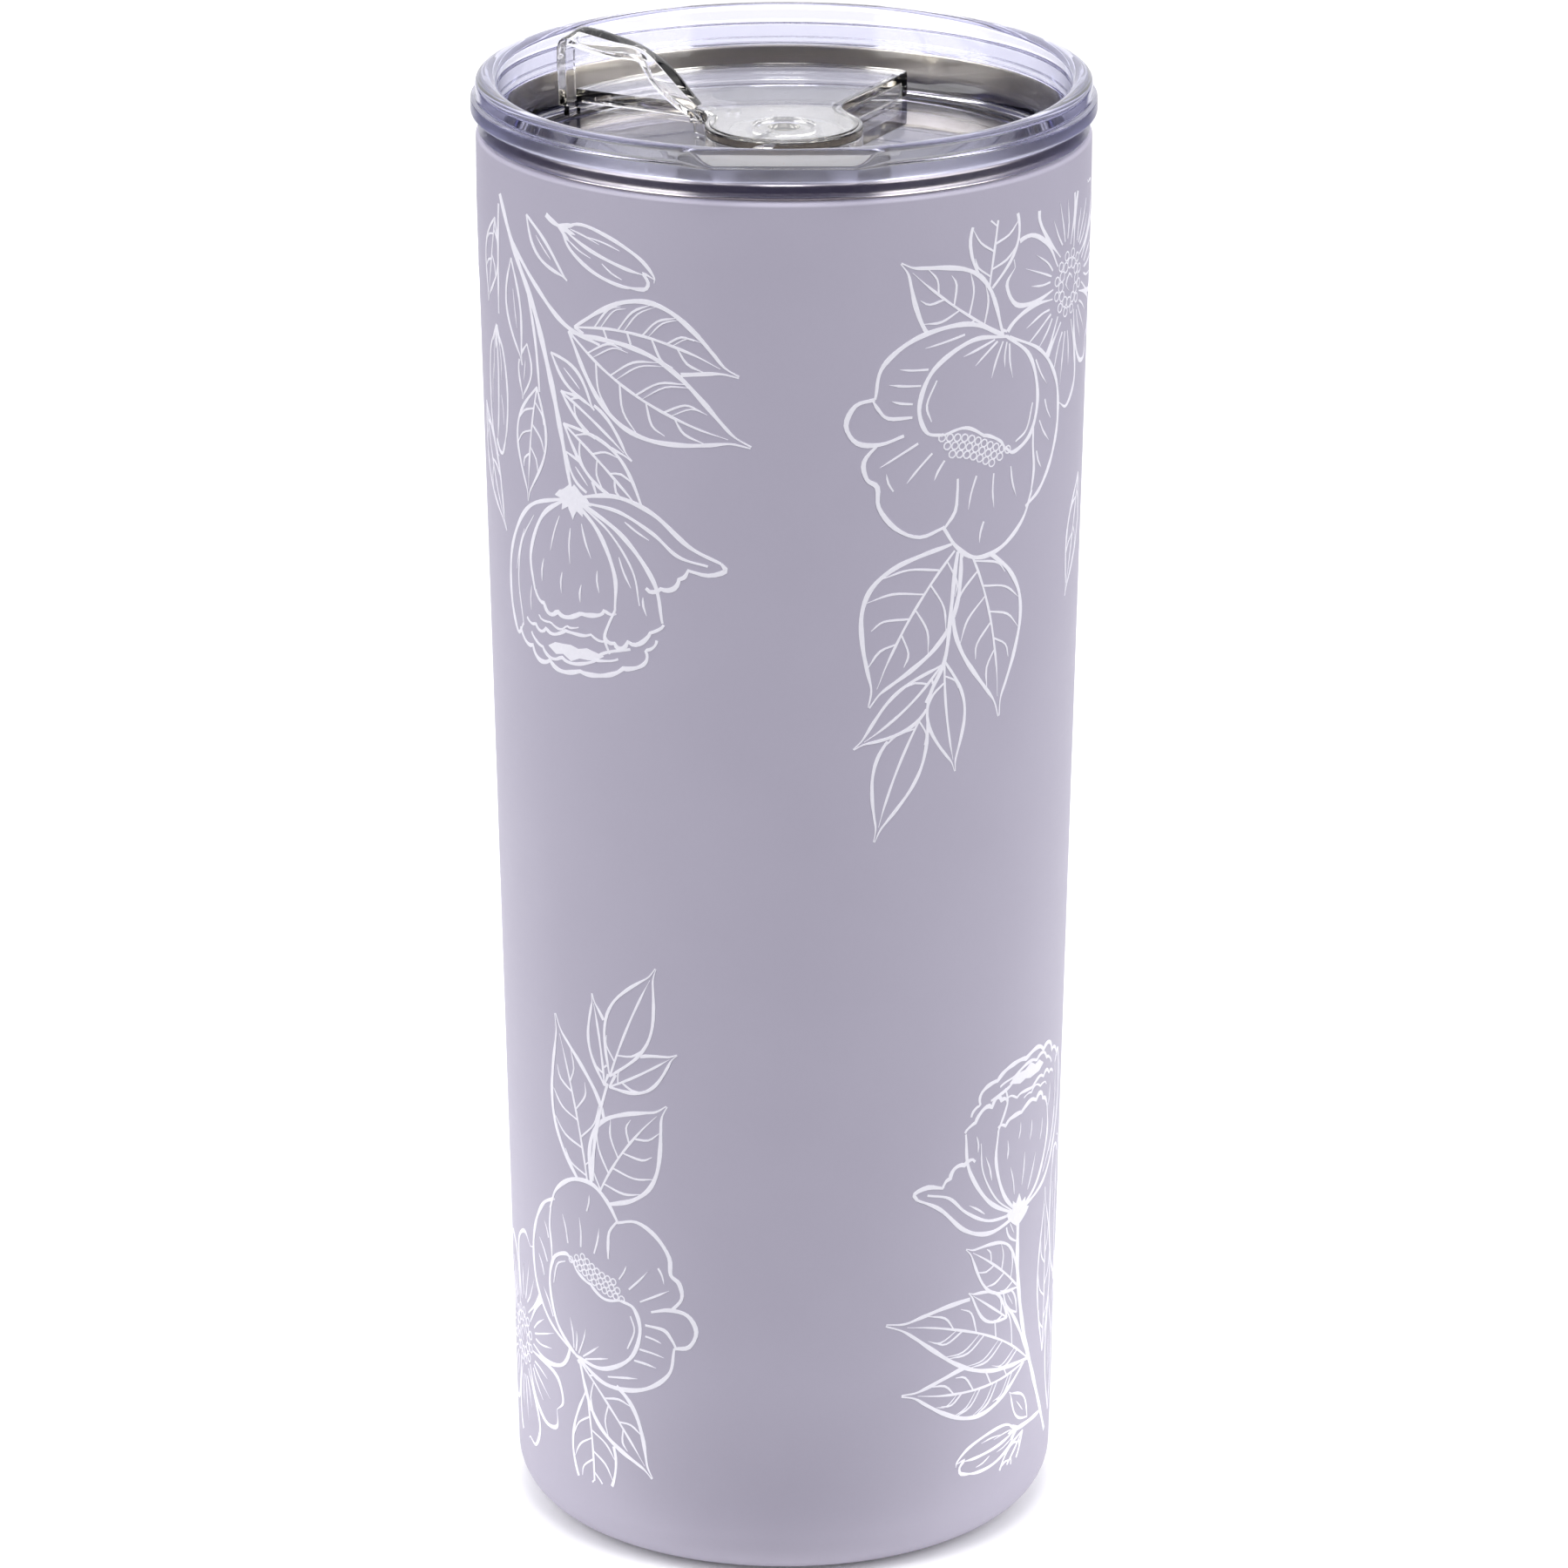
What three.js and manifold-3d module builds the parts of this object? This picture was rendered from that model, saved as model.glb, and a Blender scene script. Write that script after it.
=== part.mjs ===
// Insulated tumbler with a press-in lid and a swivel closure.
// Millimetres, +Z up, origin at the centre of the base on the surface that the tumbler stands on.
// The cup is a double-walled steel jacket. The lid plugs into its mouth and is lifted off upwards.
// The closure turns about the cup's axis on the lid's floor and covers the drink opening at +Y.

import * as THREE from 'three';
import { mergeVertices } from 'three/addons/utils/BufferGeometryUtils.js';
import Module from 'manifold-3d';

const wasm = await Module();
wasm.setup();

// ---- driving dimensions: cup ----
const BODY_TOP_R = 37.8;        // painted shell at the mouth
const BODY_BASE_R = 34.25;      // painted shell just above its bottom corner
const BODY_TOP_Z = 179.7;       // shoulder where the paint ends
const STRAIGHT_H = 8;           // cylindrical stretch under the shoulder
const CORNER_R = 6;             // bottom corner of the shell
const FOOT_Z = 0.4;             // the steel foot ring stays this far above the pad's face
const SHEET = 0.5;              // steel sheet of both walls
const WALL_DEPTH = 2.2;         // painted surface to drinking surface
const NECK_R = 36.4;            // bare steel drinking lip, outside
const NECK_TOP_Z = 181.8;       // top of the drinking lip
const LINER_FLOOR_Z = 12;       // drinking surface at the bottom of the liner
const LINER_CORNER_R = 6;
const CURL_R = 26;              // inner face of the shell's turned-in foot
const CURL_TOP_Z = 5;
const GAP = 0.3;                // clearance between pieces that touch in use

// ---- driving dimensions: lid ----
const LID_BOTTOM_Z = 180.05;    // lower edge of the outer skirt
const RIM_TOP_Z = 187;
const RIM_IN_R = 35.2;          // inner edge of the rim
const RIM_OUT_R = 37.8;         // outer wall under the crown
const FLANGE_R = 38.4;
const FLANGE_LOW_Z = 182.8;
const FLANGE_TOP_Z = 184.1;
const SKIRT_R = 37.5;
const PLUG_R = 35.3;            // outside of the plug that enters the mouth
const PLUG_BOTTOM_Z = 171.6;
const FLOOR_TOP_Z = 176.8;
const FLOOR_THICK = 2;
const FLOOR_EDGE_R = 33.5;
const TAB_HALF_W = 8.4;         // flat front of the lift tab, half width
const TAB_ROOT_HALF_W = 12.8;
const DRINK_MID_R = 25.25;      // drink opening, a curved slot
const DRINK_HALF_W = 4.25;
const DRINK_HALF_ANGLE = 11;
const VENT_R = 1.1;
const VENT_AT_R = 17;
const VENT_AZIMUTH = 112;

// ---- driving dimensions: closure ----
const CLOSURE_TOP_Z = 180.4;
const CLOSURE_LOW_Z = FLOOR_TOP_Z + GAP;
const PLATE_THICK = 1.4;
const SKIRT_THICK = 1.1;
const HUB_R = 9.75;
const FAN_R = 32;
const ARM_EDGE_ANGLE = 63.8;    // direction of the fan's right edge
const ARM_EDGE_AT = new THREE.Vector2(7.05, 10.07);
const FIN_AZIMUTH = 151.1;      // near face of the thumb fin
const FIN_THICK = 4;
const FIN_WALL = 0.9;
const FIN_LOW_Z = 178.7;
const FIN_TOP_Z = 188.2;
const FIN_OUT_R = 32.4;         // the fin's outer end leans out past the fan
const OPEN_TURN = 62;           // swivel from closed to open, degrees
const POST_R = 2;
const POST_HOLE_R = 2.3;

const SEG = 48;                 // sides of a large round piece
const SMALL_SEG = 24;           // sides of a small round piece
const deg = THREE.MathUtils.degToRad;

// ---- geometry helpers ----

// Points of an arc in a (radius, height) profile, angles in degrees from +radius towards +height.
function arc(cr, cz, radius, from, to, steps) {
  const points = [];
  for (let i = 0; i <= steps; i++) {
    const a = deg(from + (to - from) * i / steps);
    points.push([cr + radius * Math.cos(a), cz + radius * Math.sin(a)]);
  }
  return points;
}

// Solid of revolution about +Z from a (radius, height) outline drawn anticlockwise.
// An outline that stays off the axis is closed on itself.
function lathe(outline, sides = SEG) {
  const profile = outline.map(([r, z]) => new THREE.Vector2(r, z));
  const onAxis = outline[0][0] === 0 && outline.at(-1)[0] === 0;
  if (!onAxis) profile.push(profile[0].clone());
  const geometry = new THREE.LatheGeometry(profile, sides);
  geometry.rotateX(Math.PI / 2);
  return geometry;
}

// Prism of a plan shape between two heights.
function prism(shape, low, high, curveSegments = 12) {
  const geometry = new THREE.ExtrudeGeometry(shape, {
    depth: high - low, bevelEnabled: false, curveSegments, steps: 1,
  });
  geometry.translate(0, 0, low);
  return geometry;
}

function solid(geometry) {
  const bare = geometry.clone();
  for (const name of ['normal', 'uv']) bare.deleteAttribute(name);
  const merged = mergeVertices(bare, 1e-4);
  const corners = [];
  for (let i = 0; i < merged.index.count; i += 3) {
    const [a, b, c] = merged.index.array.slice(i, i + 3);
    if (a !== b && b !== c && c !== a) corners.push(a, b, c);
  }
  return new wasm.Manifold(new wasm.Mesh({
    numProp: 3,
    vertProperties: new Float32Array(merged.attributes.position.array),
    triVerts: new Uint32Array(corners),
  }));
}

function geometryOf(manifold) {
  const mesh = manifold.getMesh();
  const geometry = new THREE.BufferGeometry();
  geometry.setAttribute('position', new THREE.BufferAttribute(mesh.vertProperties, 3));
  geometry.setIndex(new THREE.BufferAttribute(mesh.triVerts, 1));
  return geometry;
}

const polar = (r, azimuth) => new THREE.Vector2(
  r * Math.cos(deg(azimuth)), r * Math.sin(deg(azimuth)));

// Where the line through a along u crosses the line through b along v.
function crossing(a, u, b, v) {
  const t = (b.clone().sub(a)).cross(v) / u.clone().cross(v);
  return a.clone().addScaledVector(u, t);
}

// Where the line from a along u is at a distance from the axis.
function reachTo(a, u, distance) {
  const along = a.dot(u);
  const t = -along + Math.sqrt(along * along - a.lengthSq() + distance * distance);
  return a.clone().addScaledVector(u, t);
}

// ---- materials ----
const material = (color, roughness, metalness, opacity = 1) => new THREE.MeshStandardMaterial({
  color, roughness, metalness, opacity, transparent: opacity < 1,
});
const powderCoat = material(0xaaa6b4, 0.55, 0.1);
const brushedSteel = material(0xc9c6c2, 0.32, 1);
const copperFoil = material(0xb8734a, 0.35, 1);
const sealGlass = material(0x5a6a62, 0.3, 0);
const getterAlloy = material(0x6f6c68, 0.6, 0.8);
const siliconeGrey = material(0x8d8a97, 0.75, 0);
const siliconeClear = material(0xdcdde4, 0.5, 0, 0.6);
const clearLid = material(0xdfe1f0, 0.05, 0, 0.35);
const clearClosure = material(0xece9dc, 0.06, 0, 0.35);

// ---- cup ----

// Radius of the painted shell at a height above its bottom corner.
function shellRadius(z) {
  const coneTop = BODY_TOP_Z - STRAIGHT_H;
  const coneLow = FOOT_Z + CORNER_R;
  const t = THREE.MathUtils.clamp((z - coneLow) / (coneTop - coneLow), 0, 1);
  return BODY_BASE_R + (BODY_TOP_R - BODY_BASE_R) * t;
}

function outerShell() {
  const coneTop = BODY_TOP_Z - STRAIGHT_H;
  const cornerZ = FOOT_Z + CORNER_R;
  const cornerR = BODY_BASE_R - CORNER_R;
  const edge = 0.4;
  return lathe([
    ...arc(cornerR, cornerZ, CORNER_R, -90, 0, 6),
    [BODY_TOP_R, coneTop],
    ...arc(BODY_TOP_R - edge, BODY_TOP_Z - edge, edge, 0, 90, 2),
    [NECK_R + GAP, BODY_TOP_Z],
    [NECK_R + GAP, BODY_TOP_Z - SHEET],
    [BODY_TOP_R - SHEET, BODY_TOP_Z - 2 * SHEET],
    [BODY_TOP_R - SHEET, coneTop],
    ...arc(cornerR, cornerZ, CORNER_R - SHEET, 0, -90, 5),
    [CURL_R + SHEET, FOOT_Z + SHEET + 0.4],
    [CURL_R + SHEET, CURL_TOP_Z],
    [CURL_R, CURL_TOP_Z],
    [CURL_R, FOOT_Z + 0.6],
    [CURL_R + 0.6, FOOT_Z],
  ]);
}

function innerLiner() {
  const inner = (z) => shellRadius(z) - WALL_DEPTH;
  const cornerZ = LINER_FLOOR_Z + LINER_CORNER_R;
  const cornerR = inner(cornerZ) - LINER_CORNER_R;
  const coneTop = BODY_TOP_Z - STRAIGHT_H;
  const mouthR = BODY_TOP_R - WALL_DEPTH;
  const lipR = (NECK_R - mouthR) / 2;
  return lathe([
    [0, LINER_FLOOR_Z - SHEET],
    ...arc(cornerR, cornerZ, LINER_CORNER_R + SHEET, -90, 0, 5),
    [mouthR + SHEET, coneTop],
    [mouthR + SHEET, BODY_TOP_Z - 3],
    [NECK_R, BODY_TOP_Z - 2.6],
    ...arc(mouthR + lipR, NECK_TOP_Z - lipR, lipR, 0, 180, 4),
    [mouthR, coneTop],
    ...arc(cornerR, cornerZ, LINER_CORNER_R, 0, -90, 5),
    [0, LINER_FLOOR_Z],
  ]);
}

// Copper foil wrapped round the liner inside the vacuum, which turns radiant heat back.
function foilWrap() {
  const low = LINER_FLOOR_Z + LINER_CORNER_R + 3;
  const high = BODY_TOP_Z - STRAIGHT_H;
  const out = (z) => shellRadius(z) - 1.1;
  const thick = 0.3;
  return lathe([
    [out(low) - thick, low],
    [out(low), low],
    [out(high), high],
    [out(high) - thick, high],
  ]);
}

const PLATE_LOW_Z = 7.2;
const PORT_R = 1;

// Plate that closes the vacuum jacket, with a central well and an evacuation port.
function outerBase() {
  const thick = 0.6;
  const wellDepth = 1.6;
  const rimR = shellRadius(FOOT_Z + CORNER_R) - SHEET - 0.4;
  return lathe([
    [PORT_R, PLATE_LOW_Z - wellDepth],
    [4, PLATE_LOW_Z - wellDepth],
    [5.2, PLATE_LOW_Z],
    [rimR - 2.2, PLATE_LOW_Z],
    [rimR - 0.5, PLATE_LOW_Z + 1.2],
    [rimR, PLATE_LOW_Z + 3.6],
    [rimR - thick, PLATE_LOW_Z + 3.6],
    [rimR - thick - 0.4, PLATE_LOW_Z + 1.6],
    [rimR - 2.5, PLATE_LOW_Z + thick],
    [4.9, PLATE_LOW_Z + thick],
    [3.7, PLATE_LOW_Z - wellDepth + thick],
    [PORT_R, PLATE_LOW_Z - wellDepth + thick],
  ]);
}

// Bead that seals the evacuation port from below.
function vacuumSealBead() {
  const face = PLATE_LOW_Z - 1.6 - GAP;
  const stemR = PORT_R - GAP;
  return lathe([
    [0, face - 0.8],
    [1.6, face - 0.55],
    [2.4, face - 0.2],
    [2.3, face],
    [stemR, face],
    [stemR, face + 1],
    [0, face + 1],
  ], SMALL_SEG);
}

const GETTER_X = 16;
const HOLDER_LOW_Z = PLATE_LOW_Z + 0.6 + GAP;
const HOLDER_R = 4.9;

function getterHolder() {
  return lathe([
    [0, HOLDER_LOW_Z],
    [HOLDER_R, HOLDER_LOW_Z],
    [HOLDER_R, HOLDER_LOW_Z + 2],
    [HOLDER_R - 0.4, HOLDER_LOW_Z + 2],
    [HOLDER_R - 0.4, HOLDER_LOW_Z + 0.4],
    [0, HOLDER_LOW_Z + 0.4],
  ], SMALL_SEG);
}

// Pressed getter pill, which takes up the last gas in the vacuum.
function getterPill() {
  const low = HOLDER_LOW_Z + 0.4 + GAP;
  const r = HOLDER_R - 0.4 - GAP;
  return lathe([[0, low], [r, low], [r, low + 1.3], [r - 0.4, low + 1.7], [0, low + 1.7]], SMALL_SEG);
}

// Steel cover pan pressed into the foot, over the sealed port.
function baseCap() {
  const r = CURL_R - 0.4;
  const low = 1.7;
  return lathe([
    [0, low],
    [r - 0.7, low],
    [r, low + 0.7],
    [r, CURL_TOP_Z - 0.4],
    [r - SHEET, CURL_TOP_Z - 0.4],
    [r - SHEET, low + 0.9],
    [r - 0.9, low + SHEET],
    [0, low + SHEET],
  ]);
}

// Non-slip pad under the cover pan, with two ring grooves in its face.
function basePad() {
  const r = CURL_R - 1;
  const top = 1.7 - GAP;
  const depth = 0.5;
  const groove = (mid) => [[mid - 1, 0], [mid - 0.7, depth], [mid + 0.7, depth], [mid + 1, 0]];
  return lathe([
    [0, 0],
    ...groove(13),
    ...groove(19),
    [r - 0.5, 0],
    [r, 0.5],
    [r, top],
    [0, top],
  ]);
}

// ---- lid ----

const FLOOR_LOW_Z = FLOOR_TOP_Z - FLOOR_THICK;
const O_RING_POCKET_R = 4.2;
const O_RING_POCKET_DEPTH = 0.9;

// Revolved part of the lid: rim, flange, skirt, plug with its gasket groove, and floor.
function lidRevolved() {
  const mouthTop = NECK_TOP_Z + 0.35;
  const pocketZ = FLOOR_TOP_Z - O_RING_POCKET_DEPTH;
  return lathe([
    [POST_HOLE_R, FLOOR_LOW_Z],
    [32, FLOOR_LOW_Z],
    [32.7, 174],
    [33.2, PLUG_BOTTOM_Z + 0.4],
    [33.6, PLUG_BOTTOM_Z],
    [34.8, PLUG_BOTTOM_Z],
    [PLUG_R - 0.1, PLUG_BOTTOM_Z + 0.4],
    [PLUG_R - 0.1, GROOVE_LOW_Z],
    [GROOVE_R, GROOVE_LOW_Z],
    [GROOVE_R, GROOVE_TOP_Z],
    [PLUG_R, GROOVE_TOP_Z],
    [PLUG_R, mouthTop],
    [NECK_R + 0.35, mouthTop],
    [NECK_R + 0.35, LID_BOTTOM_Z],
    [SKIRT_R - 0.2, LID_BOTTOM_Z],
    [SKIRT_R, LID_BOTTOM_Z + 0.2],
    [SKIRT_R, FLANGE_LOW_Z - 0.1],
    [FLANGE_R - 0.25, FLANGE_LOW_Z],
    [FLANGE_R, FLANGE_LOW_Z + 0.25],
    [FLANGE_R, FLANGE_TOP_Z - 0.5],
    [FLANGE_R - 0.3, FLANGE_TOP_Z - 0.1],
    [RIM_OUT_R, FLANGE_TOP_Z + 0.4],
    [RIM_OUT_R, RIM_TOP_Z - 1.5],
    ...arc(RIM_OUT_R - 1.2, RIM_TOP_Z - 1.2, 1.2, 15, 90, 4),
    ...arc(RIM_IN_R + 1.1, RIM_TOP_Z - 1.1, 1.1, 90, 180, 4),
    [FLOOR_EDGE_R + 0.35, FLOOR_TOP_Z + 1],
    [FLOOR_EDGE_R - 0.5, FLOOR_TOP_Z],
    [O_RING_POCKET_R, FLOOR_TOP_Z],
    [O_RING_POCKET_R, pocketZ],
    [POST_HOLE_R, pocketZ],
  ]);
}

const GROOVE_R = 34;
const GROOVE_LOW_Z = 173.4;
const GROOVE_TOP_Z = 176.2;

// Tab on the rim's front for lifting the lid: flat face, rounded corners, top sloping to the flange.
function liftTab() {
  const front = -FLANGE_R;
  const rootY = -RIM_IN_R - 0.4;
  const side = new THREE.Shape();
  side.moveTo(-TAB_ROOT_HALF_W, rootY);
  side.quadraticCurveTo(-TAB_HALF_W - 2.4, rootY - 0.7, -TAB_HALF_W - 1.5, front + 0.8);
  side.quadraticCurveTo(-TAB_HALF_W - 1, front, -TAB_HALF_W, front);
  side.lineTo(TAB_HALF_W, front);
  side.quadraticCurveTo(TAB_HALF_W + 1, front, TAB_HALF_W + 1.5, front + 0.8);
  side.quadraticCurveTo(TAB_HALF_W + 2.4, rootY - 0.7, TAB_ROOT_HALF_W, rootY);
  const block = solid(prism(side, FLANGE_LOW_Z, RIM_TOP_Z - 0.1, 4));
  const slope = new THREE.Shape([
    new THREE.Vector2(-rootY + 0.6, RIM_TOP_Z + 1),
    new THREE.Vector2(-rootY + 0.6, RIM_TOP_Z - 0.1),
    new THREE.Vector2(-rootY + 1.6, RIM_TOP_Z - 0.9),
    new THREE.Vector2(FLANGE_R + 0.05, FLANGE_TOP_Z),
    new THREE.Vector2(FLANGE_R + 3, FLANGE_TOP_Z),
    new THREE.Vector2(FLANGE_R + 3, RIM_TOP_Z + 1),
  ]);
  const cut = new THREE.ExtrudeGeometry(slope, { depth: 40, bevelEnabled: false });
  cut.translate(0, 0, -20);
  // the section's plane (depth towards the user, height) is stood up across the tab
  cut.applyMatrix4(new THREE.Matrix4().makeBasis(
    new THREE.Vector3(0, -1, 0), new THREE.Vector3(0, 0, 1), new THREE.Vector3(-1, 0, 0)));
  return block.subtract(solid(cut));
}

// Curved slot with round ends, centred on +Y.
function drinkSlot() {
  const shape = new THREE.Shape();
  const from = 90 - DRINK_HALF_ANGLE;
  const to = 90 + DRINK_HALF_ANGLE;
  const right = polar(DRINK_MID_R, from);
  const left = polar(DRINK_MID_R, to);
  shape.absarc(0, 0, DRINK_MID_R + DRINK_HALF_W, deg(from), deg(to), false);
  shape.absarc(left.x, left.y, DRINK_HALF_W, deg(to), deg(to + 180), false);
  shape.absarc(0, 0, DRINK_MID_R - DRINK_HALF_W, deg(to), deg(from), true);
  shape.absarc(right.x, right.y, DRINK_HALF_W, deg(from + 180), deg(from + 360), false);
  return solid(prism(shape, FLOOR_LOW_Z - 1, FLOOR_TOP_Z + 1, 6));
}

const STOP_RING_IN_R = 4.7;
const STOP_RING_OUT_R = 6.7;
const KEY_HALF_ANGLE = 9;
const KEY_AZIMUTH = 250;        // the closure's key when closed

// Arc on the lid's floor whose two ends stop the closure's key at closed and at open.
function stopRing() {
  const slack = 5;
  const from = KEY_AZIMUTH + OPEN_TURN + KEY_HALF_ANGLE + slack;
  const to = KEY_AZIMUTH + 360 - KEY_HALF_ANGLE - slack;
  const shape = new THREE.Shape();
  shape.absarc(0, 0, STOP_RING_OUT_R, deg(from), deg(to), false);
  shape.absarc(0, 0, STOP_RING_IN_R, deg(to), deg(from), true);
  return solid(prism(shape, FLOOR_TOP_Z - 0.5, FLOOR_TOP_Z + 1.5, 16));
}

function lidBody() {
  const vent = new THREE.CylinderGeometry(VENT_R, VENT_R, FLOOR_THICK + 2, 12);
  const at = polar(VENT_AT_R, VENT_AZIMUTH);
  vent.rotateX(Math.PI / 2);
  vent.translate(at.x, at.y, FLOOR_TOP_Z - FLOOR_THICK / 2);
  return geometryOf(solid(lidRevolved())
    .add(liftTab())
    .add(stopRing())
    .subtract(drinkSlot())
    .subtract(solid(vent)));
}

// Soft ring in the plug's groove with two sealing lips.
function lidGasket() {
  const inner = GROOVE_R + GAP;
  const lip = BODY_TOP_R - WALL_DEPTH - GAP;
  const low = GROOVE_LOW_Z + GAP;
  const high = GROOVE_TOP_Z - GAP;
  return lathe([
    [inner, low],
    [lip, low + 0.1],
    [lip, low + 0.5],
    [lip - 0.5, low + 0.8],
    [lip - 0.5, high - 0.8],
    [lip, high - 0.5],
    [lip, high - 0.1],
    [inner, high],
  ]);
}

// ---- closure ----

const HUB_RIGHT_AZIMUTH = 28;   // where the concave necks leave the hub
const HUB_LEFT_AZIMUTH = 172;
const NECK_END_R = 14;          // where they meet the fan's straight edges
const finDirection = polar(1, FIN_AZIMUTH);
const finBehind = polar(1, FIN_AZIMUTH - 90);

// Plan outline of the closure, anticlockwise: hub, concave neck, fan, concave neck.
// shrink moves the whole outline inwards.
function closureOutline(shrink = 0) {
  const hubR = HUB_R - shrink;
  const fanR = FAN_R - shrink;
  const armDirection = polar(1, ARM_EDGE_ANGLE);
  const armAt = ARM_EDGE_AT.clone().addScaledVector(polar(1, ARM_EDGE_ANGLE + 90), shrink);
  const finEdgeAt = finBehind.clone().multiplyScalar(1.2 + shrink);
  const hubRight = polar(hubR, HUB_RIGHT_AZIMUTH);
  const hubLeft = polar(hubR, HUB_LEFT_AZIMUTH);
  const neckRight = crossing(hubRight, polar(1, HUB_RIGHT_AZIMUTH + 90), armAt, armDirection);
  const neckLeft = crossing(hubLeft, polar(1, HUB_LEFT_AZIMUTH + 90), finEdgeAt, finDirection);
  const armStart = reachTo(armAt, armDirection, NECK_END_R);
  const tip = reachTo(armAt, armDirection, fanR);
  const finStart = reachTo(finEdgeAt, finDirection, NECK_END_R);
  const heel = reachTo(finEdgeAt, finDirection, fanR);
  const shape = new THREE.Shape();
  shape.absarc(0, 0, hubR, deg(HUB_LEFT_AZIMUTH), deg(HUB_RIGHT_AZIMUTH + 360), false);
  shape.quadraticCurveTo(neckRight.x, neckRight.y, armStart.x, armStart.y);
  shape.absarc(0, 0, fanR, tip.angle(), heel.angle(), false);
  shape.lineTo(finStart.x, finStart.y);
  shape.quadraticCurveTo(neckLeft.x, neckLeft.y, hubLeft.x, hubLeft.y);
  return shape;
}

// Side view of the thumb fin: distance from the axis against height.
function finProfile(shrink) {
  const s = shrink;
  const path = new THREE.Shape();
  path.moveTo(12 + s, FIN_LOW_Z);
  path.lineTo(FAN_R - s, FIN_LOW_Z);
  path.quadraticCurveTo(FIN_OUT_R + 0.1 - s, 182, FIN_OUT_R - s, 186);
  path.quadraticCurveTo(FIN_OUT_R - 0.1 - s, FIN_TOP_Z - s, FIN_OUT_R - 1.7 - s, FIN_TOP_Z - s);
  path.quadraticCurveTo(25, FIN_TOP_Z - s, 20.8 - 0.4 * s, 186.3 - s);
  path.quadraticCurveTo(17.4 - 0.3 * s, 183 - s, 12 + s, CLOSURE_TOP_Z - 0.2 - s);
  return path;
}

// The fin's side view pushed through its thickness, from one distance behind the near face.
function finSlab(profile, from, to, dropTo = null) {
  const geometry = new THREE.ExtrudeGeometry(profile, {
    depth: to - from, bevelEnabled: false, curveSegments: 6,
  });
  geometry.translate(0, 0, from);
  if (dropTo !== null) {
    const position = geometry.attributes.position;
    for (let i = 0; i < position.count; i++) {
      if (position.getY(i) < FIN_LOW_Z + 0.01) position.setY(i, dropTo);
    }
  }
  const basis = new THREE.Matrix4().makeBasis(
    new THREE.Vector3(finDirection.x, finDirection.y, 0),
    new THREE.Vector3(0, 0, 1),
    new THREE.Vector3(finBehind.x, finBehind.y, 0));
  geometry.applyMatrix4(basis);
  return solid(geometry);
}

function sector(inR, outR, azimuth, halfAngle) {
  const shape = new THREE.Shape();
  shape.absarc(0, 0, outR, deg(azimuth - halfAngle), deg(azimuth + halfAngle), false);
  shape.absarc(0, 0, inR, deg(azimuth + halfAngle), deg(azimuth - halfAngle), true);
  return shape;
}

function closureFlap() {
  const plateLow = CLOSURE_TOP_Z - PLATE_THICK;
  const boss = lathe([
    [0, CLOSURE_LOW_Z + 0.2],
    [3.9, CLOSURE_LOW_Z + 0.2],
    [3.9, CLOSURE_TOP_Z - 0.5],
    [0, CLOSURE_TOP_Z - 0.5],
  ], SMALL_SEG);
  const post = lathe([
    [0, 172.6],
    [POST_R - 0.5, 172.6],
    [POST_R, 173.1],
    [POST_R, CLOSURE_TOP_Z - 0.7],
    [0, CLOSURE_TOP_Z - 0.7],
  ], SMALL_SEG);
  const key = prism(sector(3.5, HUB_R - 0.6, KEY_AZIMUTH, KEY_HALF_ANGLE),
    CLOSURE_LOW_Z, CLOSURE_TOP_Z - 0.9, 4);
  return geometryOf(solid(prism(closureOutline(), CLOSURE_LOW_Z, CLOSURE_TOP_Z))
    .subtract(solid(prism(closureOutline(SKIRT_THICK), CLOSURE_LOW_Z - 1, plateLow)))
    .add(solid(boss))
    .add(solid(post))
    .add(solid(key))
    .add(finSlab(finProfile(0), 0, FIN_THICK))
    .subtract(finSlab(finProfile(FIN_WALL), FIN_WALL, FIN_THICK - FIN_WALL, CLOSURE_LOW_Z - 1)));
}

// Ring that snaps on the closure's post under the lid's floor and holds the closure down.
function pivotRetainer() {
  const high = FLOOR_LOW_Z - GAP;
  const low = high - 1.2;
  return lathe([
    [POST_HOLE_R, low],
    [4, low],
    [4.8, low + 0.5],
    [4.8, high],
    [POST_HOLE_R, high],
  ], SMALL_SEG);
}

// Ring round the post in a pocket of the lid's floor.
function pivotORing() {
  const section = 0.4;
  const z = FLOOR_TOP_Z - O_RING_POCKET_DEPTH + GAP + section;
  return lathe(arc(3.2, z, section, 0, 315, 7), SMALL_SEG);
}

// ---- assembly ----
const tumbler = new THREE.Group();

function place(parent, name, geometry, look, x = 0) {
  const mesh = new THREE.Mesh(geometry, look);
  mesh.name = name;
  mesh.position.x = x;
  parent.add(mesh);
}

const cup = new THREE.Group();
place(cup, 'outer_shell', outerShell(), powderCoat);
place(cup, 'inner_liner', innerLiner(), brushedSteel);
place(cup, 'foil_wrap', foilWrap(), copperFoil);
place(cup, 'outer_base', outerBase(), brushedSteel);
place(cup, 'vacuum_seal_bead', vacuumSealBead(), sealGlass);
place(cup, 'getter_holder', getterHolder(), brushedSteel, GETTER_X);
place(cup, 'getter_pill', getterPill(), getterAlloy, GETTER_X);
place(cup, 'base_cap', baseCap(), brushedSteel);
place(cup, 'base_pad', basePad(), siliconeGrey);

const lid = new THREE.Group();
place(lid, 'lid_body', lidBody(), clearLid);
place(lid, 'lid_gasket', lidGasket(), siliconeClear);

const closure = new THREE.Group();
place(closure, 'closure_flap', closureFlap(), clearClosure);
place(closure, 'pivot_retainer', pivotRetainer(), siliconeClear);
place(closure, 'pivot_o_ring', pivotORing(), siliconeClear);

tumbler.add(cup, lid, closure);

export default tumbler;
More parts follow.
